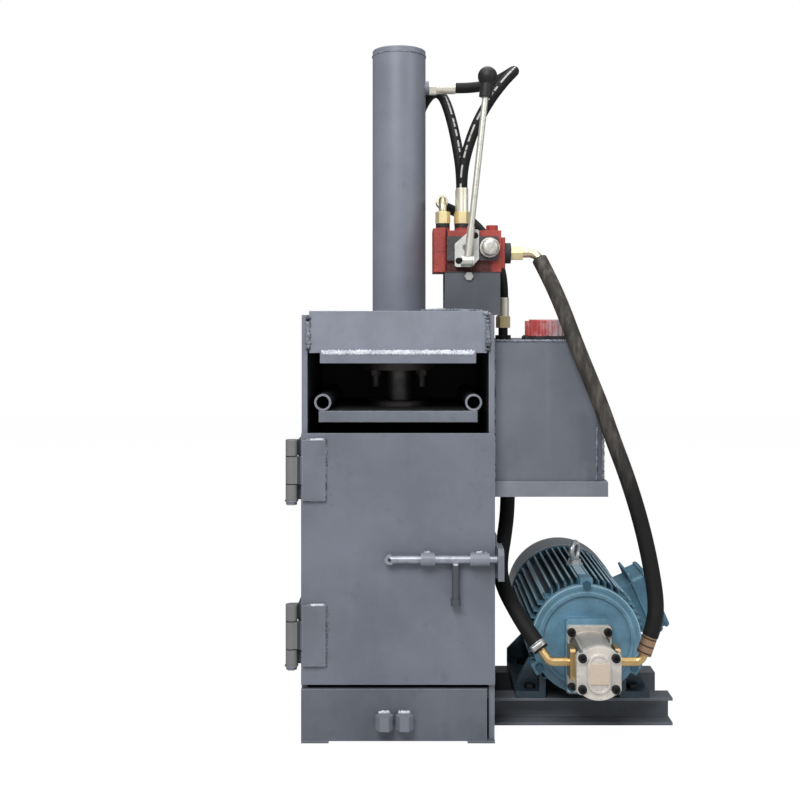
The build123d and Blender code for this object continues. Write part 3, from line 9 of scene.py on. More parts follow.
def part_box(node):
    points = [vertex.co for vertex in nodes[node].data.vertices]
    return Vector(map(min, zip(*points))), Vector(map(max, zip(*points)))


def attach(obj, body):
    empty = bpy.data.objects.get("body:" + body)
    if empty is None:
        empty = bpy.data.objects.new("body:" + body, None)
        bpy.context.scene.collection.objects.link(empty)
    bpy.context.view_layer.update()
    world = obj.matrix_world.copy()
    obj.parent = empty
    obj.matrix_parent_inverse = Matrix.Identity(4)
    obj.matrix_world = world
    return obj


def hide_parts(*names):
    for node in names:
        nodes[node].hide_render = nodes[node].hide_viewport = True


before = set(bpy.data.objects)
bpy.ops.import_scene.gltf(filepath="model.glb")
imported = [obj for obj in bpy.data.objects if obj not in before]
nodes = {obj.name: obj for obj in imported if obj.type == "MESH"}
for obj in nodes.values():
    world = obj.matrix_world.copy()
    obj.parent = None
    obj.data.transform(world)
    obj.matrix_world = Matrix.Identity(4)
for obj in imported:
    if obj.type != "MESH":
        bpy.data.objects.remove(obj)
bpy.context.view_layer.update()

# Press box: welded steel plate under brushed blue-grey enamel, with painted shade inside the
# chamber.
# The walls stand on the base plate, the header and the top plate tie them, and the thick
# cylinder plate hangs under the header.


class Wire:
    """An output socket of a material's node that takes sums like a number."""

    def __init__(self, finish, socket):
        self.finish = finish
        self.socket = socket

    def sum(self, operation, first, second=0.0):
        return self.finish.node("ShaderNodeMath", {"operation": operation}, {0: first, 1: second})

    def __add__(self, other):
        return self.sum("ADD", self, other)

    def __radd__(self, other):
        return self.sum("ADD", other, self)

    def __sub__(self, other):
        return self.sum("SUBTRACT", self, other)

    def __rsub__(self, other):
        return self.sum("SUBTRACT", other, self)

    def __mul__(self, other):
        return self.sum("MULTIPLY", self, other)

    def sine(self):
        return self.sum("SINE", self)

    def size(self):
        return self.sum("ABSOLUTE", self)

    def root(self):
        return self.sum("SQRT", self)

    def step(self, low, high):
        """Runs smoothly from 0 at low to 1 at high; with low above high it falls instead."""
        ends = {"Value": self, "From Min": low, "From Max": high}
        return self.finish.node("ShaderNodeMapRange", {"interpolation_type": "SMOOTHSTEP"}, ends)


class Finish:
    """A procedural material: the Principled shader and the nodes that feed it."""

    def __init__(self, name):
        self.material = bpy.data.materials.new(name)
        self.material.use_nodes = True
        self.tree = self.material.node_tree
        self.shader = self.tree.nodes["Principled BSDF"]
        self.place = self.node("ShaderNodeTexCoord", output="Object")
        self.rounded = None

    def node(self, kind, settings=(), sockets=(), output=0):
        """Adds a node: its settings first, then its socket values and links."""
        made = self.tree.nodes.new(kind)
        for key, value in dict(settings).items():
            setattr(made, key, value)
        for key, value in dict(sockets).items():
            self.feed(made.inputs[key], value)
        return Wire(self, made.outputs[output])

    def feed(self, socket, value):
        if isinstance(value, Wire):
            self.tree.links.new(value.socket, socket)
        elif socket.type == "RGBA":
            socket.default_value = (*value, 1)
        else:
            socket.default_value = value

    def shade(self, sockets):
        for key, value in sockets.items():
            self.feed(self.shader.inputs[key], value)

    def split(self, vector):
        """The three parts of a vector output."""
        parts = self.tree.nodes.new("ShaderNodeSeparateXYZ")
        self.feed(parts.inputs[0], vector)
        return [Wire(self, output) for output in parts.outputs]

    def axes(self):
        """The three coordinates of the shaded point, in metres in the machine's frame."""
        return self.split(self.place)

    def noise(self, scale, detail=3, roughness=0.5, stretch=(1, 1, 1)):
        factors = {0: self.place, 1: stretch}
        spot = self.node("ShaderNodeVectorMath", {"operation": "MULTIPLY"}, factors)
        sockets = {"Vector": spot, "Scale": scale, "Detail": detail, "Roughness": roughness}
        return self.node("ShaderNodeTexNoise", sockets=sockets)

    def blend(self, first, second, share):
        return self.node("ShaderNodeMix", {"data_type": "RGBA"}, {0: share, 6: first, 7: second}, 2)

    def edge(self, radius):
        """Rounds the edges' normals and says how far they lean: 0 on a flat, 1 on an edge."""
        self.rounded = self.node("ShaderNodeBevel", {"samples": 4}, {"Radius": radius})
        flat = self.node("ShaderNodeNewGeometry", output="True Normal")
        turns = {0: self.rounded, 1: flat}
        lean = self.node("ShaderNodeVectorMath", {"operation": "DOT_PRODUCT"}, turns, "Value")
        return (1 - lean).step(0.012, 0.22)

    def cover(self, tone, share):
        """Lays another tone over the base colour, where share is 1."""
        socket = self.shader.inputs["Base Color"]
        under = Wire(self, socket.links[0].from_socket)
        self.feed(socket, self.blend(under, tone, share))

    def bump(self, height, distance):
        sockets = {"Height": height, "Distance": distance}
        if self.rounded:
            sockets["Normal"] = self.rounded
        self.shade({"Normal": self.node("ShaderNodeBump", sockets=sockets)})


def srgb(red, green, blue):
    """A linear colour from three values of 0 to 255 as a screen shows them."""
    shares = (red / 255, green / 255, blue / 255)
    return tuple(c / 12.92 if c < 0.04045 else ((c + 0.055) / 1.055) ** 2.4 for c in shares)


def tint(colour, share):
    return tuple(min(c * share, 1) for c in colour)


def paint(name, tone, chip, wear=0.55, gloss=0.46, cloudy=0.16):
    """Brushed enamel on plate: clouds, runs, grit, painted edge highlights, and edges where the
    primer shows.
    """
    coat = Finish(name)
    edge = coat.edge(radius=0.0017)
    cloud = coat.noise(scale=5.5, detail=5, roughness=0.62)
    run = coat.noise(scale=34, detail=3, stretch=(1, 1, 0.07))
    blotch = coat.noise(scale=24, detail=6, roughness=0.68)
    grit = coat.noise(scale=520, detail=2)
    scuff = coat.noise(scale=75, detail=5, roughness=0.7)
    chipped = (edge * (0.35 + scuff)).step(0.62, 0.95) * wear
    rubbed = blotch.step(0.60, 0.78) * 0.3
    shade = coat.blend(tint(tone, 1 - cloudy), tint(tone, 1 + cloudy), cloud.step(0.32, 0.68))
    shade = coat.blend(shade, tint(tone, 1.28), run.step(0.52, 0.78) * 0.28)
    shade = coat.blend(shade, tint(tone, 0.72), blotch.step(0.44, 0.28) * 0.4)
    # Painted highlight: a pale line along every edge, whatever the light.
    shade = coat.blend(shade, tint(tone, 2.4), edge * (0.35 + cloud * 0.7))
    shade = coat.blend(shade, chip, chipped)
    coat.shade({
        "Base Color": shade,
        "Roughness": gloss + cloud * 0.12 + rubbed * 0.3 + chipped * 0.15,
        "Specular IOR Level": 0.42,
    })
    height = cloud * 0.5 + run * 0.3 + grit * 0.10 + blotch * 0.25 - chipped * 0.3
    coat.bump(height, distance=0.0007)
    return coat


def dress(finish, *names):
    """Gives CAD nodes a material through their slots."""
    for name in names:
        for slot in nodes[name].material_slots:
            slot.material = finish.material


primer = srgb(186, 190, 198)
# A dark tone painted as shade on the faces inside the chamber.
chamber_shade_tone = srgb(44, 45, 50)
wall_low, wall_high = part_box("right_wall")
inner_half = wall_low.x
inner_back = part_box("back_wall")[0].y
inner_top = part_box("top_plate")[0].z
skin = 0.0006
lip_start, lip_end = wall_low.y + 0.0007, wall_low.y + 0.0020

frame_coat = paint("frame_enamel", srgb(116, 120, 131), primer)
frame_x, frame_y, frame_z = frame_coat.axes()
# Painted shade: the inner faces of the walls, back and top are painted dark.
in_chamber_shade = frame_x.size().step(inner_half + skin, inner_half + skin / 6)
in_chamber_shade = in_chamber_shade * frame_y.step(lip_start, lip_end)
in_chamber_shade = in_chamber_shade * frame_y.step(inner_back + skin, inner_back + skin / 6)
in_chamber_shade = in_chamber_shade * frame_z.step(inner_top + skin / 2, inner_top - skin / 2)
frame_coat.cover(chamber_shade_tone, in_chamber_shade)
dress(frame_coat, "left_wall", "right_wall", "back_wall", "top_plate", "cylinder_mount_plate")
header_coat = paint("header_enamel", srgb(127, 132, 143), primer)
dress(header_coat, "header_plate")

front_thickness = 0.010
plate_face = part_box("base_front_plate")[1].y - front_thickness
lug_root, lug_start = plate_face - 0.0015, plate_face - 0.0025
base_coat = paint("base_enamel", srgb(98, 102, 111), primer)
on_lug = base_coat.axes()[1].step(lug_root, lug_start)
base_coat.cover(srgb(124, 128, 138), on_lug * 0.8)
dress(base_coat, "base_plate", "base_front_plate")
anvil_coat = paint("anvil_scale", srgb(40, 41, 43), srgb(90, 84, 78), gloss=0.6)
dress(anvil_coat, "anvil_plate")

# Weld runs on the box: laid by hand, rippled and lumpy, thinly painted so that they stay pale.
# They fill the corners between the plates.


def piece(name, mesh, finish, body):
    """Makes an object of a finished bmesh, smooth, and lets it ride on a body."""
    bmesh.ops.recalc_face_normals(mesh, faces=mesh.faces)
    data = bpy.data.meshes.new(name)
    mesh.to_mesh(data)
    mesh.free()
    data.polygons.foreach_set("use_smooth", [True] * len(data.polygons))
    made = bpy.data.objects.new(name, data)
    data.materials.append(finish.material)
    bpy.context.scene.collection.objects.link(made)
    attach(made, body)


def lay_bead(mesh, points, radius, rng):
    """One rippled weld run along straight stretches, with lumps where the rod paused."""
    pitch_share, end_share, stray_share = 0.42, 0.45, 0.16
    ripple_mean, ripple_swing, ripple_turn, ripple_chance = 0.86, 0.16, 1.9, 0.22
    way = []
    for start, end in zip(points, points[1:]):
        start, end = Vector(start), Vector(end)
        count = max(2, round((end - start).length / (radius * pitch_share)))
        way += [start.lerp(end, place / count) for place in range(count)]
    way.append(Vector(points[-1]))
    rim = None
    for place, at in enumerate(way):
        ahead = way[min(place + 1, len(way) - 1)] - way[max(place - 1, 0)]
        ripple = ripple_mean + ripple_swing * math.sin(place * ripple_turn)
        ripple += rng.uniform(-ripple_chance, ripple_chance)
        swell = radius * ripple * (end_share if place in (0, len(way) - 1) else 1)
        stray = Vector([rng.uniform(-1, 1) for axis in range(3)]) * radius * stray_share
        turn = ahead.to_track_quat("Z", "Y").to_matrix().to_4x4()
        grow = Matrix.Diagonal((swell, swell, radius, 1))
        spot = Matrix.Translation(at + stray) @ turn @ grow
        if rim is None:
            first = bmesh.ops.create_circle(mesh, cap_ends=True, segments=10, radius=1, matrix=spot)
            rim = list({edge for vertex in first["verts"] for edge in vertex.link_edges})
        else:
            grown = bmesh.ops.extrude_edge_only(mesh, edges=rim)["geom"]
            edges = [part for part in grown if isinstance(part, bmesh.types.BMEdge)]
            rim = [edge for edge in edges if edge.is_boundary]
            rounds = [part for part in grown if isinstance(part, bmesh.types.BMVert)]
            bmesh.ops.transform(mesh, matrix=spot @ last.inverted(), verts=rounds)
        last = spot
    bmesh.ops.contextual_create(mesh, geom=rim)


def weld(name, body, finish, runs, seed):
    """A piece of weld runs, each given by its bead's radius and its points."""
    rng = random.Random(seed)
    mesh = bmesh.new()
    for radius, points in runs:
        lay_bead(mesh, points, radius, rng)
    piece(name, mesh, finish, body)


def bead_finish(name, tone, scale_tone):
    """Weld metal: bright crests, scale between them, fine spatter."""
    metal = Finish(name)
    crest = metal.noise(scale=310, detail=4, roughness=0.65)
    patch = metal.noise(scale=60, detail=3)
    shade = metal.blend(scale_tone, tone, (crest * 0.6 + patch * 0.5).step(0.40, 0.66))
    metal.shade({"Base Color": shade, "Roughness": 0.42 + crest * 0.25, "Metallic": 0.15})
    metal.bump(crest, distance=0.0012)
    return metal


white_bead = bead_finish("bare_weld", srgb(220, 223, 230), srgb(172, 176, 186))
grey_bead = bead_finish("painted_weld", srgb(142, 146, 157), srgb(62, 65, 72))

head_low, head_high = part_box("header_plate")
mount_low, mount_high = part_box("cylinder_mount_plate")
face = head_low.y
mount_runs = []
for bead, out, rise, left_gap, right_gap in (
    (0.0044, 0.0028, 0.0016, 0.001, 0.001),
    (0.0036, 0.0046, -0.0006, 0.003, 0.004),
):
    level = (face - out, mount_high.z + rise)
    ends = (mount_low.x + left_gap, mount_high.x - right_gap)
    mount_runs.append((bead, [(end, *level) for end in ends]))
weld("mount_weld", "press", white_bead, mount_runs, seed=11)

side_bead, corner_bead, top_bead = 0.0052, 0.0042, 0.0030
end_gap, top_inset = 0.003, 0.004
seam = (head_high.x + wall_low.x) / 2
corner_run = [
    (seam - 0.009, face + 0.001, wall_high.z + 0.004),
    (wall_high.x - 0.004, face + 0.002, wall_high.z),
]
top_run = [
    (x, face + top_inset, head_high.z + rise)
    for x, rise in ((0.040, 0), (0.074, 0.002), (0.112, 0.001), (0.150, 0))
]
weld("header_welds", "press", grey_bead, [
    (side_bead, [(side * seam, face, mount_high.z + end_gap),
                 (side * seam, face, wall_high.z - end_gap)])
    for side in (-1, 1)
] + [(corner_bead, corner_run), (top_bead, top_run)], seed=12)

lug_bead, lug_top, lug_out = 0.0038, 0.055, 0.0035
lug_left, lug_right, lug_rise = 0.011, 0.010, 0.001
weld("lug_welds", "press", white_bead, [
    (lug_bead, [(lug_x - lug_left, plate_face - lug_out, lug_top),
                (lug_x + lug_right, plate_face - lug_out, lug_top + lug_rise)])
    for lug_x in (-0.0235, 0.0115)
], seed=13)

# Door: one plate, painted as the box, on two weld-on barrel hinges of turned steel.
# The hinge leaves are welded round their edges, with spatter beside them.

door_coat = paint("door_enamel", srgb(110, 114, 125), primer, cloudy=0.12)
dress(door_coat, "door_panel")
leaf_edge, barrel_edge = -0.1750, -0.1790
barrel_shadow_x, barrel_shadow_half, barrel_shadow_core = -0.1736, 0.0034, 0.0026
seam_half, seam_core = 0.0013, 0.0008
seam_start, seam_full = -0.1740, -0.1765
knuckle_seams = (0.1656, 0.2144, 0.4546, 0.5034)
hinge_coat = paint("hinge_enamel", srgb(110, 114, 124), srgb(200, 202, 206), wear=0.9, gloss=0.4)
hinge_x, _, hinge_z = hinge_coat.axes()
hinge_coat.cover(srgb(122, 120, 117), hinge_x.step(leaf_edge, barrel_edge) * 0.75)
# Painted shadow: a dark strip between the barrel and the leaf.
hinge_coat.cover(srgb(38, 39, 42), (hinge_x - barrel_shadow_x).size().step(barrel_shadow_half, barrel_shadow_core) * 0.85)
for seam_z in knuckle_seams:
    in_seam = (hinge_z - seam_z).size().step(seam_half, seam_core)
    hinge_coat.cover(srgb(28, 28, 30), in_seam * hinge_x.step(seam_start, seam_full) * 0.9)
dress(hinge_coat, "door_hinges", "frame_hinges")


def steel(name, tone, stain, rough=0.3, brushed=(1, 1, 1), metallic=1.0, stains=0.5):
    """Bare or plated metal: tool marks, dull stains and bright edges."""
    metal = Finish(name)
    edge = metal.edge(radius=0.0007)
    mark = metal.noise(scale=420, detail=3, stretch=brushed)
    dull = metal.noise(scale=48, detail=5, roughness=0.66)
    shade = metal.blend(tone, stain, dull.step(0.46, 0.72) * stains)
    shade = metal.blend(shade, tint(tone, 1.25), edge * 0.6)
    metal.shade({
        "Base Color": shade,
        "Metallic": metallic,
        "Roughness": rough + dull * 0.22 + mark * 0.08 - edge * 0.08,
    })
    metal.bump(mark * 0.5 + dull * 0.3, distance=0.00025)
    return metal


pin_steel = steel("pin_steel", srgb(150, 153, 160), srgb(90, 88, 86), rough=0.4, metallic=0.7)
dress(pin_steel, "hinge_pins")

door_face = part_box("door_panel")[0].y
leaf_low, leaf_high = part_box("door_hinges")
hinge_length = 0.106
hinge_feet = (leaf_low.z, leaf_high.z - hinge_length)
leaf_bead, cap_bead, plate_bead = 0.0030, 0.0026, 0.0034
leaf_start, leaf_end, leaf_y = leaf_high.x - 0.034, leaf_high.x, door_face - 0.0005
plate_x, plate_y = -wall_high.x - 0.001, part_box("frame_hinges")[1].y
leaf_runs = []
cap_runs = []
plate_runs = []
for foot in hinge_feet:
    head = foot + hinge_length
    corners = ((leaf_start, head), (leaf_end, head), (leaf_end, foot), (leaf_start, foot))
    leaf_runs.append((leaf_bead, [(x, leaf_y, z) for x, z in corners]))
    cap_runs.append((cap_bead, [(leaf_end - 0.026, door_face - 0.0048, head + 0.0006),
                                (leaf_end - 0.002, door_face - 0.0040, head + 0.0012)]))
    plate_runs.append((plate_bead, [(plate_x, plate_y, foot), (plate_x, plate_y, head)]))
weld("leaf_welds", "door", grey_bead, leaf_runs, seed=21)
weld("leaf_caps", "door", white_bead, cap_runs, seed=24)
weld("plate_welds", "press", grey_bead, plate_runs, seed=22)

drops, drop_clear, drop_spread, drop_past = 16, 0.003, 0.009, 0.012
drop_small, drop_large = 0.0006, 0.0014
spatter_rng = random.Random(23)
spatter = bmesh.new()
for foot in hinge_feet:
    for drop in range(drops):
        aside = abs(spatter_rng.gauss(0, drop_spread)) + drop_clear
        height = foot + spatter_rng.uniform(-drop_past, hinge_length + drop_past)
        spot = Matrix.Translation((leaf_high.x + aside, door_face, height))
        size = spatter_rng.uniform(drop_small, drop_large)
        bmesh.ops.create_icosphere(spatter, subdivisions=1, radius=size, matrix=spot)
piece("leaf_spatter", spatter, grey_bead, "door")

# Drawn bolt: a turned bar in two sleeves welded to the door, with a drop handle, and a keeper
# plate on the right wall that its necked tip enters. Bright where it slides.

sleeve_coat = paint("sleeve_enamel", srgb(134, 138, 149), srgb(206, 208, 214), wear=0.9, gloss=0.3)
dress(sleeve_coat, "bolt_guides")
guide_low, guide_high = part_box("bolt_guides")
bolt_low, bolt_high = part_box("latch_bolt")
bolt_level = (guide_low.z + guide_high.z) / 2
bar_foot, handle_head = bolt_level - 0.0082, bolt_level - 0.0092
bar_metallic, handle_metallic = 0.75, 0.10
bolt_steel = steel("bolt_steel", srgb(166, 169, 179), srgb(102, 104, 111), rough=0.3,
                   brushed=(0.06, 1, 1), metallic=bar_metallic)
on_handle = bolt_steel.axes()[2].step(bar_foot, handle_head)
bolt_steel.cover(srgb(76, 79, 85), on_handle)
bolt_steel.shade({"Metallic": bar_metallic - on_handle * (bar_metallic - handle_metallic)})
dress(bolt_steel, "latch_bolt")
keeper_coat = paint("keeper_enamel", srgb(116, 120, 130), srgb(206, 208, 212), wear=0.9, gloss=0.4)
dress(keeper_coat, "bolt_keeper")

short_guide, long_guide = 0.024, 0.033
guide_ends = ((guide_low.x, guide_low.x + short_guide), (guide_high.x - long_guide, guide_high.x))
guide_bead, guide_gap, foot_half, foot_out = 0.0034, 0.002, 0.0085, 0.001
weld("guide_welds", "door", grey_bead, [
    (guide_bead, [(start + guide_gap, door_face - foot_out, bolt_level + side * foot_half),
                  (end - guide_gap, door_face - foot_out, bolt_level + side * foot_half)])
    for start, end in guide_ends for side in (-1, 1)
], seed=31)
lump_bead, lump_left, lump_right = 0.0030, 0.006, 0.004
weld("guide_lumps", "door", white_bead, [
    (lump_bead, [((start + end) / 2 - lump_left, door_face - 0.007, guide_high.z - 0.0002),
                 ((start + end) / 2 + lump_right, door_face - 0.008, guide_high.z + 0.0008)])
    for start, end in guide_ends
], seed=34)
joint_bead, joint_radius, joint_drop = 0.0019, 0.0060, 0.0084
handle_x, handle_y = 0.1005, (bolt_low.y + bolt_high.y) / 2
weld("handle_weld", "latch", white_bead, [
    (joint_bead, [(handle_x + joint_radius * math.sin(lean),
                   handle_y - joint_radius * math.cos(lean), bolt_level - joint_drop)
                  for lean in (-0.6, -0.3, 0, 0.3, 0.6)]),
], seed=32)
keeper_low, keeper_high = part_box("bolt_keeper")
pad_bead, pad_x = 0.0028, wall_high.x + 0.0045
pad_back, pad_foot, pad_head = keeper_high.y - 0.008, keeper_low.z + 0.003, keeper_high.z - 0.018
weld("keeper_welds", "press", grey_bead, [
    (pad_bead, [(pad_x, pad_back - 0.018, pad_foot), (pad_x, pad_back, pad_foot)]),
    (pad_bead, [(pad_x, wall_low.y + 0.001, pad_head), (pad_x, pad_back, pad_head)]),
], seed=33)

# Cylinder and ram: a painted barrel with a welded cap, a steel gland under the thick plate, a
# steel rod, and the painted pressing plate with two edge tubes; painted shade behind their front
# ends.

barrel_coat = paint("barrel_enamel", srgb(119, 123, 135), primer, gloss=0.36, cloudy=0.1)
dress(barrel_coat, "cylinder_barrel")
gland_steel = steel("gland_steel", srgb(92, 88, 85), srgb(42, 40, 39), rough=0.42, metallic=0.6)
dress(gland_steel, "cylinder_gland", "gland_bolts", "rod_disc", "piston")
rod_steel = steel("rod_steel", srgb(112, 109, 107), srgb(64, 61, 59), rough=0.28, metallic=0.8)
dress(rod_steel, "piston_rod")
platen_front, platen_shaded = -0.1492, -0.1480
platen_coat = paint("platen_enamel", srgb(112, 117, 127), srgb(206, 208, 212), wear=0.9)
# Painted shade: the platen is dark behind its front face.
platen_coat.cover(chamber_shade_tone, platen_coat.axes()[1].step(platen_front, platen_shaded))
dress(platen_coat, "platen")
tube_front, tube_shaded = -0.149, -0.138
tube_coat = paint("tube_enamel", srgb(122, 126, 136), srgb(214, 216, 220), wear=0.9)
# Painted shade: the tubes are dark behind their front ends.
tube_coat.cover(chamber_shade_tone, tube_coat.axes()[1].step(tube_front, tube_shaded))
dress(tube_coat, "guide_tubes")

barrel_low, barrel_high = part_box("cylinder_barrel")
ring_bead, ring_turns = 0.0013, 48
ring_level, ring_radius = barrel_high.z - 0.011, -barrel_low.x
ring_angles = [2 * math.pi * turn / ring_turns for turn in range(ring_turns + 1)]
weld("cap_weld", "press", grey_bead, [
    (ring_bead, [(ring_radius * math.cos(angle), ring_radius * math.sin(angle), ring_level)
                 for angle in ring_angles]),
], seed=41)

# Oil tank: folded sheet under the same paint, welded along its edges, on two carrying angles.
# The red ribbed filler cap sits on a black moulded neck held by screws.

tank_low, tank_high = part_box("oil_tank")
stain_right, stain_left = (0.318, 0.336), (0.190, 0.180)
lap_edge, lap_fade = tank_high.x - 0.013, 0.002
tank_coat = paint("tank_enamel", srgb(106, 110, 119), primer, cloudy=0.12)
tank_x = tank_coat.axes()[0]
tank_stain = tank_coat.noise(scale=16, detail=5, roughness=0.66, stretch=(1, 1, 0.5))
tank_edge = tank_x.step(*stain_right) + tank_x.step(*stain_left)
tank_coat.cover(srgb(86, 89, 101), tank_stain.step(0.42, 0.56) * tank_edge * 0.5)
on_lap = tank_x.step(lap_edge, lap_edge + lap_fade)
tank_coat.cover(srgb(78, 80, 86), on_lap * tank_stain.step(0.34, 0.50) * 0.7)
dress(tank_coat, "oil_tank")
shelf_coat = paint("shelf_enamel", srgb(125, 129, 138), primer)
dress(shelf_coat, "tank_shelf")
fitting_steel = steel("fitting_steel", srgb(52, 52, 54), srgb(30, 29, 28), rough=0.42, metallic=0.6)
dress(fitting_steel, "tank_fittings")


def moulded(name, tone, dusty, grain=900, gloss=0.42, dust_scale=55, dusting=0.55):
    """Moulded plastic or rubber: fine spark grain, dust in the hollows, rubbed edges with a painted
    highlight.
    """
    plastic = Finish(name)
    edge = plastic.edge(radius=0.0009)
    fine = plastic.noise(scale=grain, detail=2)
    dust = plastic.noise(scale=dust_scale, detail=5, roughness=0.65)
    shade = plastic.blend(tone, dusty, dust.step(0.48, 0.76) * dusting)
    # Edges lightened: partly rubbing, partly a painted highlight.
    shade = plastic.blend(shade, dusty, edge * 0.35)
    plastic.shade({"Base Color": shade, "Roughness": gloss + dust * 0.2 + fine * 0.08})
    plastic.bump(fine * 0.6 + dust * 0.4, distance=0.0003)
    return plastic


neck_plastic = moulded("neck_plastic", srgb(34, 34, 36), srgb(92, 92, 94))
dress(neck_plastic, "filler_neck")
film_start, film_full = 0.262, 0.286
cap_plastic = moulded("cap_plastic", srgb(186, 76, 74), srgb(222, 176, 178), dust_scale=70,
                      dusting=0.7)
cap_film = cap_plastic.noise(scale=45, detail=4)
on_film = cap_plastic.axes()[0].step(film_start, film_full)
cap_plastic.cover(srgb(176, 166, 170), on_film * cap_film.step(0.28, 0.56) * 0.85)
dress(cap_plastic, "filler_cap")

tank_face = tank_low.y
slope_x, slope_z = 0.316, 0.545
edge_bead, lap_bead, wall_bead, slope_bead = 0.0026, 0.0022, 0.0018, 0.0030
wall_x, slope_gap = tank_low.x + 0.002, 0.006
edge_run = [
    (tank_low.x + 0.004, tank_face, tank_high.z), (slope_x, tank_face, tank_high.z),
    (tank_high.x, tank_face, slope_z), (tank_high.x, tank_face, tank_low.z + 0.003),
]
lap_run = [
    (tank_high.x - 0.011, tank_face, slope_z + 0.012),
    (tank_high.x - 0.012, tank_face, tank_low.z + 0.002),
]
wall_run = [(wall_x, tank_face, tank_low.z + 0.006), (wall_x, tank_face, tank_high.z - 0.008)]
slope_run = [
    (tank_high.x, tank_low.y + slope_gap, slope_z),
    (tank_high.x, tank_high.y - slope_gap, slope_z),
]
weld("tank_welds", "press", grey_bead, [
    (edge_bead, edge_run), (lap_bead, lap_run), (wall_bead, wall_run), (slope_bead, slope_run),
], seed=51)

# Hand valve on its stand: a red cast body with a dark cover, a zinc lever in a pale bracket with a
# black knob, a bright relief dome on a dark collar, and brass union nuts.

stand_low, stand_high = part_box("valve_stand")
contact_shadow_foot, contact_shadow_full = stand_high.z - 0.0030, stand_high.z - 0.0016
bolt_root, bolt_start = stand_low.y + 0.0038, stand_low.y + 0.0034
stand_coat = paint("stand_enamel", srgb(82, 85, 91), primer)
_, stand_y, stand_z = stand_coat.axes()
# Painted shadow: a dark band along the top of the stand, under the valve.
stand_coat.cover(srgb(30, 30, 32), stand_z.step(contact_shadow_foot, contact_shadow_full) * 0.85)
stand_coat.cover(srgb(168, 168, 166), stand_y.step(bolt_root, bolt_start))
dress(stand_coat, "valve_stand")

bare_edge = srgb(170, 160, 150)


def cast(name, tone, pit_tone, rough=0.5, pits=0.0016, metallic=0.0, worn=bare_edge, wear=0.4):
    """Cast metal, painted or bare: sand pits, soft clouds and rubbed edges."""
    body = Finish(name)
    edge = body.edge(radius=0.0018)
    sand = body.noise(scale=210, detail=4, roughness=0.6)
    cloud = body.noise(scale=22, detail=4, roughness=0.6)
    rubbed = (edge * (0.3 + cloud)).step(0.6, 0.95) * wear
    shade = body.blend(tint(tone, 0.8), tint(tone, 1.18), cloud.step(0.3, 0.7))
    shade = body.blend(shade, pit_tone, sand.step(0.40, 0.26) * 0.6)
    shade = body.blend(shade, worn, rubbed)
    body.shade({
        "Base Color": shade,
        "Metallic": metallic,
        "Roughness": rough + cloud * 0.16 - rubbed * 0.1,
    })
    body.bump(sand, distance=pits)
    return body


block_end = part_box("valve_cover")[0].x
parting_level, fade = 0.866, 0.0007
shade_head, shade_foot = 0.852, 0.846
shade_start, shade_end = (block_end, block_end + 0.002), (0.176, 0.164)
ring_foot, collar_start = 0.9125, 0.1935
valve_cast = cast("valve_cast", srgb(164, 64, 56), srgb(92, 36, 34))
valve_x, _, valve_z = valve_cast.axes()
# Painted shade: a dark band low on the body, under the cover.
shade_low_band = valve_z.step(shade_head, shade_foot) * valve_x.step(*shade_start) * valve_x.step(*shade_end)
valve_cast.cover(srgb(34, 18, 18), shade_low_band * 0.85)
# Painted shade: a dark strip in the corner where the left block meets the body.
shaded_corner = (valve_x - (block_end + 0.0006)).size().step(0.0016, 0.0008)
valve_cast.cover(srgb(70, 26, 24), shaded_corner)
in_parting = (valve_z - parting_level).size().step(0.0009, 0.0004)
valve_cast.cover(srgb(96, 34, 30), in_parting * valve_x.step(block_end, block_end - 0.001) * 0.8)
valve_cast.cover(srgb(30, 27, 28), valve_z.step(ring_foot, ring_foot + fade))
valve_cast.cover(srgb(34, 33, 35), valve_x.step(collar_start, collar_start + fade))
dress(valve_cast, "valve_body")
cover_cast = cast("cover_cast", srgb(70, 68, 70), srgb(34, 33, 35), worn=srgb(150, 150, 152))
dress(cover_cast, "valve_cover")
spool_steel = steel("spool_steel", srgb(190, 190, 192), srgb(120, 118, 112), rough=0.22)
dress(spool_steel, "valve_spool")
lever_zinc = steel("lever_zinc", srgb(216, 214, 204), srgb(168, 162, 140), rough=0.3, metallic=0.8)
dress(lever_zinc, "hand_lever")

bracket_low, bracket_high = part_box("lever_bracket")
screw_aside, screw_rise, screw_radius, screw_core = 0.007, 0.011, 0.0060, 0.0056
bracket_screws = (
    (bracket_low.x + screw_aside, bracket_low.z + screw_rise),
    (bracket_high.x - screw_aside, bracket_high.z - screw_rise),
)
bracket_zinc = steel("bracket_zinc", srgb(222, 222, 220), srgb(160, 156, 146), rough=0.34,
                     metallic=0.7)
bracket_x, _, bracket_z = bracket_zinc.axes()
for screw_x, screw_z in bracket_screws:
    off_x, off_z = bracket_x - screw_x, bracket_z - screw_z
    from_screw = (off_x * off_x + off_z * off_z).root()
    bracket_zinc.cover(srgb(32, 32, 33), from_screw.step(screw_radius, screw_core))
dress(bracket_zinc, "lever_bracket")
knob_rubber = moulded("knob_rubber", srgb(14, 14, 15), srgb(38, 38, 40))
dress(knob_rubber, "lever_knob")

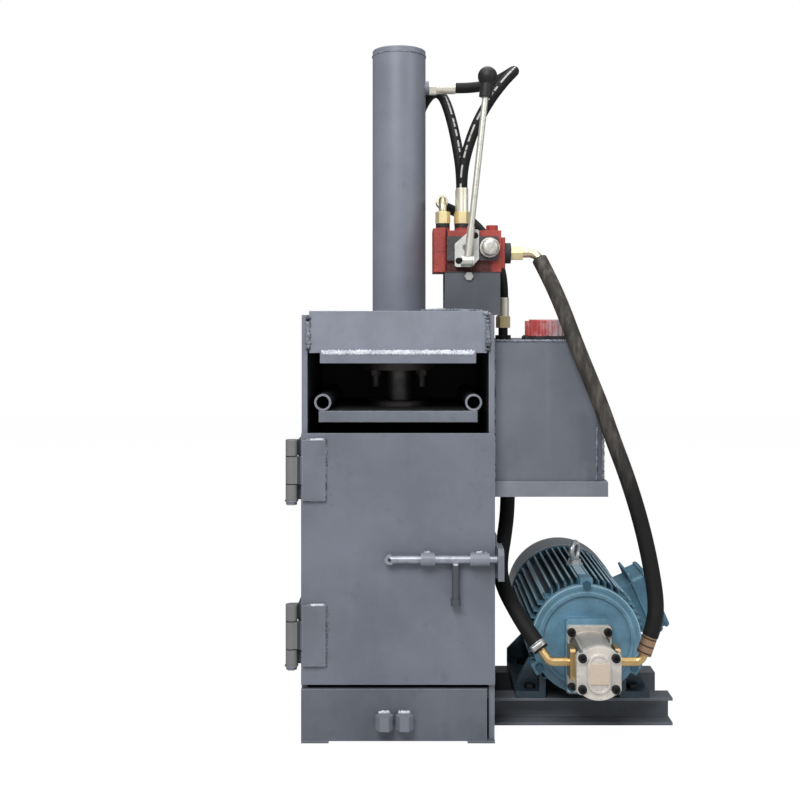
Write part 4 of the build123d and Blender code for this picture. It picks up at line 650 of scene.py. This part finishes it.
dome_length = 0.016
collar_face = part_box("relief_valve")[0].y + dome_length
collar_fade, plug_foot, plug_fade = 0.0006, 0.900, 0.001
relief = steel("relief_chrome", srgb(214, 214, 212), srgb(140, 136, 130), rough=0.34)
_, relief_y, relief_z = relief.axes()
in_plug = relief_z.step(plug_foot - plug_fade, plug_foot)
in_collar = relief_y.step(collar_face, collar_face + collar_fade) * (1 - in_plug)
relief_mark = relief.noise(scale=120, detail=4)
relief_shade = relief.blend(srgb(220, 219, 212), srgb(190, 186, 174), relief_mark.step(0.4, 0.75))
relief_shade = relief.blend(relief_shade, srgb(60, 58, 60), in_collar)
relief_shade = relief.blend(relief_shade, srgb(172, 62, 56), in_plug)
relief.shade({"Base Color": relief_shade, "Metallic": 1 - in_collar - in_plug})
dress(relief, "relief_valve")

pale_nut_foot, pale_nut_full = 1.10, 1.11
nut_brass = steel("nut_brass", srgb(246, 230, 178), srgb(192, 158, 98), rough=0.3, metallic=0.75)
nut_brass.cover(srgb(238, 235, 220), nut_brass.axes()[2].step(pale_nut_foot, pale_nut_full))
dress(nut_brass, "port_nuts")

# Bent steel pipes, crimped hose sleeves and band clamps: zinc plate with a yellow cast, copper
# brown at the pump. The crimps are pressed in rings, and the bands are drawn tight by screws.

pump_zone = (0.41, 0.40)
pipe_zinc = steel("pipe_zinc", srgb(226, 214, 182), srgb(160, 136, 94), rough=0.26)
pipe_zinc.cover(srgb(206, 168, 104), pipe_zinc.axes()[2].step(*pump_zone) * 0.75)
dress(pipe_zinc, "bent_pipes")
crimp_start_x, crimp_start_z = 0.434, 0.199
crimp_run_x, crimp_run_z = 0.331, 0.944
crimp_rings, ring_half, ring_core = (0.004, 0.017, 0.029), 0.0018, 0.0010
crimp_zinc = steel("crimp_zinc", srgb(244, 241, 226), srgb(186, 175, 142), rough=0.28, metallic=0.8)
crimp_x, _, crimp_z = crimp_zinc.axes()
at_pump = crimp_z.step(*pump_zone) * 0.85
crimp_zinc.cover(srgb(150, 108, 74), at_pump)
down_crimp = (crimp_start_x - crimp_x) * crimp_run_x + (crimp_start_z - crimp_z) * crimp_run_z
for ring in crimp_rings:
    in_ring = (down_crimp - ring).size().step(ring_half, ring_core)
    crimp_zinc.cover(srgb(58, 40, 28), in_ring * at_pump)
dress(crimp_zinc, "hose_sleeves")
clamp_steel = steel("clamp_steel", srgb(210, 210, 210), srgb(140, 138, 132), rough=0.25)
dress(clamp_steel, "hose_clamps")

# Hoses: wrapped black rubber with the weave of the curing tape in it, worn grey on the long one.
# Each is crimped or clamped at both ends and hangs in its own bend.


def rubber(name, tone, length, around, worn=None, clean_below=0.0, stripe=None):
    """Wrapped hose: tape weave, chalk, rubbed streaks, and a plain broken pale line."""
    tape_pitch, dash_pitch, line_half = 0.0045, 0.0110, 0.030
    hose = Finish(name)
    along, turn, _ = hose.split(hose.node("ShaderNodeTexCoord", output="UV"))
    left = ((turn * around + along * (length / tape_pitch)) * 2 * math.pi).sine()
    right = ((turn * around - along * (length / tape_pitch)) * 2 * math.pi).sine()
    weave = left * right
    chalk = hose.noise(scale=38, detail=5, roughness=0.66)
    fine = hose.noise(scale=600, detail=2)
    shade = hose.blend(tone, tint(tone, 3.2), chalk.step(0.46, 0.74) * 0.5)
    if worn:
        streak = hose.noise(scale=90, detail=4, roughness=0.6, stretch=(1, 1, 0.16))
        rubbed = hose.axes()[2].step(clean_below - 0.12, clean_below + 0.08)
        shade = hose.blend(shade, tint(worn, 0.36), rubbed * 0.9)
        shade = hose.blend(shade, worn, rubbed * streak.step(0.40, 0.66))
    shade = hose.blend(shade, tint(tone, 0.6), weave.step(0.2, -0.6) * 0.3)
    if stripe:
        line = (turn - stripe).size().step(line_half, line_half * 0.8)
        spots = {"W": along * (length / dash_pitch), "Scale": 1.0, "Detail": 0.0}
        dash = hose.node("ShaderNodeTexNoise", {"noise_dimensions": "1D"}, spots)
        line = line * dash.step(0.40, 0.46) * chalk.step(0.30, 0.46)
        shade = hose.blend(shade, srgb(196, 196, 194), line * 0.8)
    hose.shade({"Base Color": shade, "Roughness": 0.5 + chalk * 0.2, "Specular IOR Level": 0.28})
    hose.bump(weave * 0.25 + fine * 0.3 + chalk * 0.3, distance=0.0006)
    return hose


def hang(name, node, route, diameter, length, **look):
    """A hose on its route: one smooth spline through the fittings' ends."""
    wraps_per_metre = 700
    wraps = round(diameter * wraps_per_metre)
    finish = rubber(name + "_rubber", srgb(14, 14, 14), length, wraps, **look)
    data = bpy.data.curves.new(name, "CURVE")
    data.dimensions = "3D"
    data.bevel_depth = diameter / 2
    data.bevel_resolution = 7
    data.resolution_u = 10
    data.use_fill_caps = True
    spline = data.splines.new("NURBS")
    spline.points.add(len(route) - 1)
    for point, at in zip(spline.points, route):
        point.co = (*at, 1)
    spline.order_u = 3
    spline.use_endpoint_u = True
    data.materials.append(finish.material)
    made = bpy.data.objects.new(name, data)
    bpy.context.scene.collection.objects.link(made)
    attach(made, "press")
    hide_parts(node)


large, small = 0.028, 0.020
hang("pressure_line", "pressure_hose", [
    (0.259, -0.0906, 0.853), (0.272, -0.1066, 0.824), (0.293, -0.137, 0.768),
    (0.312, -0.163, 0.706), (0.334, -0.172, 0.648), (0.357, -0.178, 0.590), (0.376, -0.183, 0.533),
    (0.397, -0.188, 0.476), (0.4145, -0.192, 0.420), (0.4285, -0.197, 0.365),
    (0.4385, -0.203, 0.312), (0.445, -0.209, 0.262), (0.4433, -0.214, 0.2255),
    (0.434, -0.214, 0.199),
], large, 0.7042, worn=srgb(95, 90, 84), clean_below=0.52)
hang("suction_line", "suction_hose", [
    (0.207, -0.020, 0.425), (0.207, -0.020, 0.385), (0.200, -0.036, 0.338), (0.190, -0.060, 0.298),
    (0.188, -0.088, 0.268), (0.195, -0.117, 0.248), (0.204, -0.146, 0.234), (0.215, -0.172, 0.217),
    (0.230, -0.1927, 0.196), (0.248, -0.205, 0.172),
], large, 0.3452)
hang("ram_down_line", "ram_down_hose", [
    (0.108, 0, 1.188), (0.136, 0, 1.188), (0.166, 0.001, 1.193), (0.193, 0, 1.204),
    (0.211, -0.012, 1.213), (0.219, -0.033, 1.214), (0.213, -0.053, 1.205), (0.196, -0.066, 1.186),
    (0.170, -0.069, 1.152), (0.147, -0.069, 1.112), (0.130, -0.067, 1.068), (0.118, -0.066, 1.018),
    (0.118, -0.066, 0.987),
], small, 0.3997, stripe=0.09)
hang("ram_up_line", "ram_up_hose", [
    (0, 0.099, 0.782), (0, 0.099, 0.832), (0.003, 0.102, 0.902), (0.009, 0.104, 0.972),
    (0.016, 0.104, 1.042), (0.026, 0.101, 1.110), (0.042, 0.090, 1.166), (0.064, 0.064, 1.194),
    (0.084, 0.032, 1.184), (0.099, 0.002, 1.136), (0.111, -0.024, 1.072), (0.118, -0.036, 1.018),
    (0.118, -0.036, 0.987),
], small, 0.6815, stripe=0.85)
hang("return_line", "return_hose", [
    (0.082, 0.004, 0.967), (0.082, 0.034, 0.967), (0.097, 0.060, 0.963), (0.126, 0.071, 0.951),
    (0.156, 0.062, 0.926), (0.180, 0.040, 0.890), (0.194, 0.017, 0.850), (0.200, 0, 0.812),
    (0.200, 0, 0.785),
], small, 0.2955)

# Drive: a finned cast motor in teal enamel on two charcoal channels, and a bare aluminium gear pump
# bolted to its front shield with black socket screws.

beam_coat = paint("beam_enamel", srgb(94, 98, 104), srgb(150, 153, 158), gloss=0.5)
dress(beam_coat, "motor_beams")
axis_x, axis_z = 0.337, 0.170


def from_axis(finish):
    """How far a point lies from the motor's axis, with its y and z."""
    x, y, z = finish.axes()
    off_x, off_z = x - axis_x, z - axis_z
    return (off_x * off_x + off_z * off_z).root(), y, z


fins_front, fins_back = (-0.1068, -0.1055), (0.146, 0.144)
fin_gap_shade, tip_start, tip_end = (0.1032, 0.0995), (0.1036, 0.1044), (0.1072, 0.1066)
foot_shade_zone = (0.110, 0.086)
motor_cast = cast("motor_cast", srgb(72, 112, 132), srgb(34, 58, 70), rough=0.36, pits=0.0009,
                  worn=srgb(150, 178, 190))
motor_r, motor_y, motor_z = from_axis(motor_cast)
on_fins = motor_y.step(*fins_front) * motor_y.step(*fins_back)
lit_fin_tips = motor_r.step(*tip_start) * motor_r.step(*tip_end) * on_fins
# Painted shade in the gaps between the fins, and a painted highlight on the fin tips.
motor_cast.cover(srgb(10, 20, 26), motor_r.step(*fin_gap_shade) * on_fins * 0.9)
motor_cast.cover(srgb(158, 184, 196), lit_fin_tips * 0.7)
# Painted shade: the feet, low under the motor, are darkened.
motor_cast.cover(srgb(27, 35, 40), motor_z.step(*foot_shade_zone) * 0.8)
dress(motor_cast, "motor_frame", "terminal_box", "terminal_lid")

shield_shade_zone, shield_lit_zone = (0.15, 0.075), (0.150, 0.190)
shield_cast = cast("shield_cast", srgb(92, 132, 153), srgb(44, 70, 84), rough=0.32, pits=0.0009,
                   worn=srgb(170, 200, 212), wear=0.75)
shield_r, _, shield_z = from_axis(shield_cast)
# Painted shade: the lower part of the shield is darker.
shield_cast.cover(srgb(44, 70, 84), shield_z.step(*shield_shade_zone) * 0.55)
shield_lit = shield_z.step(*shield_lit_zone)
for line_radius, line_half, line_core, line_tone, line_share in (
    (0.0968, 0.0014, 0.0006, srgb(172, 202, 214), 0.65),
    (0.0850, 0.0012, 0.0005, srgb(158, 190, 203), 0.6),
    (0.0905, 0.0012, 0.0005, srgb(52, 82, 97), 0.4),
):
    on_line = (shield_r - line_radius).size().step(line_half, line_core)
    shield_cast.cover(line_tone, on_line * shield_lit * line_share)
dress(shield_cast, "front_shield", "rear_shield")

cowl_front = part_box("fan_cowl")[0].y
cowl_highlight_zone = (axis_z + 0.050, axis_z + 0.112)
cowl_rim_highlight_zone = (cowl_front + 0.0040, cowl_front + 0.0025)
cowl_coat = paint("cowl_enamel", srgb(76, 82, 87), srgb(186, 192, 196), wear=0.9, gloss=0.3)
_, cowl_y, cowl_z = cowl_coat.axes()
# Painted highlights: a pale top and a pale line along the front rim.
cowl_coat.cover(srgb(150, 157, 162), cowl_z.step(*cowl_highlight_zone) * 0.25)
cowl_coat.cover(srgb(196, 202, 206), cowl_y.step(*cowl_rim_highlight_zone) * 0.6)
dress(cowl_coat, "fan_cowl")
core_iron = cast("core_iron", srgb(88, 86, 84), srgb(40, 38, 36), metallic=0.7)
dress(core_iron, "motor_stator", "motor_rotor")
fan_plastic = moulded("fan_plastic", srgb(36, 37, 38), srgb(90, 90, 90))
dress(fan_plastic, "cooling_fan")
eye_steel = steel("eye_steel", srgb(214, 217, 219), srgb(120, 124, 126), rough=0.24, metallic=0.85)
dress(eye_steel, "eye_bolt")

body_front, body_back = (-0.2536, -0.2528), (-0.170, -0.180)
cover_mid, flange_mid = 0.151, 0.145
panel_wide, panel_high, panel_front = (0.0160, 0.0152), (0.0180, 0.0172), (-0.262, -0.264)
seat_zone, hole_zone = (0.0100, 0.0088), (0.0082, 0.0076)
pump_metal = cast("pump_metal", srgb(210, 204, 195), srgb(92, 86, 79), rough=0.34, pits=0.0010,
                  metallic=0.4, worn=srgb(246, 243, 238), wear=0.7)
pump_x, pump_y, pump_z = pump_metal.axes()
pump_off = (pump_x - axis_x).size()
on_body = pump_y.step(*body_front) * pump_y.step(*body_back)
pump_metal.cover(srgb(140, 136, 130), on_body * 0.55)
for bolt_off, bolt_mid, bolt_rise in ((0.028, cover_mid, 0.026), (0.032, flange_mid, 0.048)):
    off_x, off_z = pump_off - bolt_off, (pump_z - bolt_mid).size() - bolt_rise
    from_bolt = (off_x * off_x + off_z * off_z).root()
    pump_metal.cover(srgb(244, 241, 235), from_bolt.step(*seat_zone) * 0.6)
    pump_metal.cover(srgb(44, 42, 40), from_bolt.step(*hole_zone) * 0.8)
on_panel = pump_off.step(*panel_wide) * (pump_z - cover_mid).size().step(*panel_high)
pump_metal.cover(srgb(218, 198, 178), on_panel * pump_y.step(*panel_front) * 0.85)
dress(pump_metal, "pump_body", "pump_cover")

lug_bolts_start, lug_bolts_end = (0.080, 0.084), (0.116, 0.112)
screw_black = steel("screw_black", srgb(44, 44, 46), srgb(22, 22, 22), rough=0.36, metallic=0.7)
screw_r, _, _ = from_axis(screw_black)
on_lug_bolts = screw_r.step(*lug_bolts_start) * screw_r.step(*lug_bolts_end)
screw_black.cover(srgb(64, 98, 116), on_lug_bolts)
dress(screw_black, "drive_bolts")

# Stage: a pale floor that keeps the shadow, soft light from above and in front, and the camera
# standing level where the photographer stood.

floor_half, floor_grey, floor_glow, floor_plain_share = 6.0, 0.6, 1.12, 0.86
floor_mesh = bmesh.new()
bmesh.ops.create_grid(floor_mesh, x_segments=1, y_segments=1, size=floor_half)
floor_data = bpy.data.meshes.new("floor")
floor_mesh.to_mesh(floor_data)
floor_mesh.free()
floor = bpy.data.objects.new("floor", floor_data)
bpy.context.scene.collection.objects.link(floor)
floor_material = bpy.data.materials.new("floor_white")
floor_material.use_nodes = True
floor_tree = floor_material.node_tree
floor_tree.nodes.clear()
floor_end = floor_tree.nodes.new("ShaderNodeOutputMaterial")
floor_lit = floor_tree.nodes.new("ShaderNodeBsdfDiffuse")
floor_lit.inputs["Color"].default_value = (floor_grey, floor_grey, floor_grey, 1)
floor_plain = floor_tree.nodes.new("ShaderNodeEmission")
floor_plain.inputs["Strength"].default_value = floor_glow
floor_path = floor_tree.nodes.new("ShaderNodeLightPath")
floor_share = floor_tree.nodes.new("ShaderNodeMath")
floor_share.operation = "MULTIPLY"
floor_share.inputs[1].default_value = floor_plain_share
floor_mix = floor_tree.nodes.new("ShaderNodeMixShader")
floor_tree.links.new(floor_path.outputs["Is Camera Ray"], floor_share.inputs[0])
floor_tree.links.new(floor_share.outputs[0], floor_mix.inputs[0])
floor_tree.links.new(floor_lit.outputs[0], floor_mix.inputs[1])
floor_tree.links.new(floor_plain.outputs[0], floor_mix.inputs[2])
floor_tree.links.new(floor_mix.outputs[0], floor_end.inputs[0])
floor_data.materials.append(floor_material)

room_tone, room_strength = (0.94, 0.97, 1, 1), 0.28
world = bpy.data.worlds.new("studio")
bpy.context.scene.world = world
world.use_nodes = True
sky = world.node_tree
sky.nodes.clear()
sky_end = sky.nodes.new("ShaderNodeOutputWorld")
sky_room = sky.nodes.new("ShaderNodeBackground")
sky_room.inputs["Color"].default_value = room_tone
sky_room.inputs["Strength"].default_value = room_strength
sky_white = sky.nodes.new("ShaderNodeBackground")
sky_white.inputs["Color"].default_value = (1, 1, 1, 1)
sky_path = sky.nodes.new("ShaderNodeLightPath")
sky_mix = sky.nodes.new("ShaderNodeMixShader")
sky.links.new(sky_path.outputs["Is Camera Ray"], sky_mix.inputs[0])
sky.links.new(sky_room.outputs[0], sky_mix.inputs[1])
sky.links.new(sky_white.outputs[0], sky_mix.inputs[2])
sky.links.new(sky_mix.outputs[0], sky_end.inputs[0])

for lamp_name, lamp_at, lamp_aim, lamp_size, lamp_watts in (
    ("key_light", (-0.7, -2.4, 2.8), (0.1, 0, 0.85), 1.5, 92),
    ("side_light", (2.4, -1.8, 1.9), (0.25, 0, 0.5), 1.4, 22),
    ("top_light", (0.2, 0.3, 3.0), (0.1, 0, 0.6), 1.8, 36),
):
    lamp_data = bpy.data.lights.new(lamp_name, "AREA")
    lamp_data.size = lamp_size
    lamp_data.energy = lamp_watts
    lamp = bpy.data.objects.new(lamp_name, lamp_data)
    lamp.location = lamp_at
    lamp_way = Vector(lamp_aim) - Vector(lamp_at)
    lamp.rotation_euler = lamp_way.to_track_quat("-Z", "Y").to_euler()
    bpy.context.scene.collection.objects.link(lamp)

camera_data = bpy.data.cameras.new("camera")
camera_data.lens = 47.25
camera_data.sensor_width = 36
camera_data.shift_x = -0.0125
camera_data.shift_y = -0.1
camera = bpy.data.objects.new("camera", camera_data)
camera.location = (0.021, -2.020, 0.742)
camera.rotation_euler = (math.pi / 2, 0, 0)
bpy.context.scene.collection.objects.link(camera)
bpy.context.scene.camera = camera
bpy.context.scene.view_settings.view_transform = "Standard"
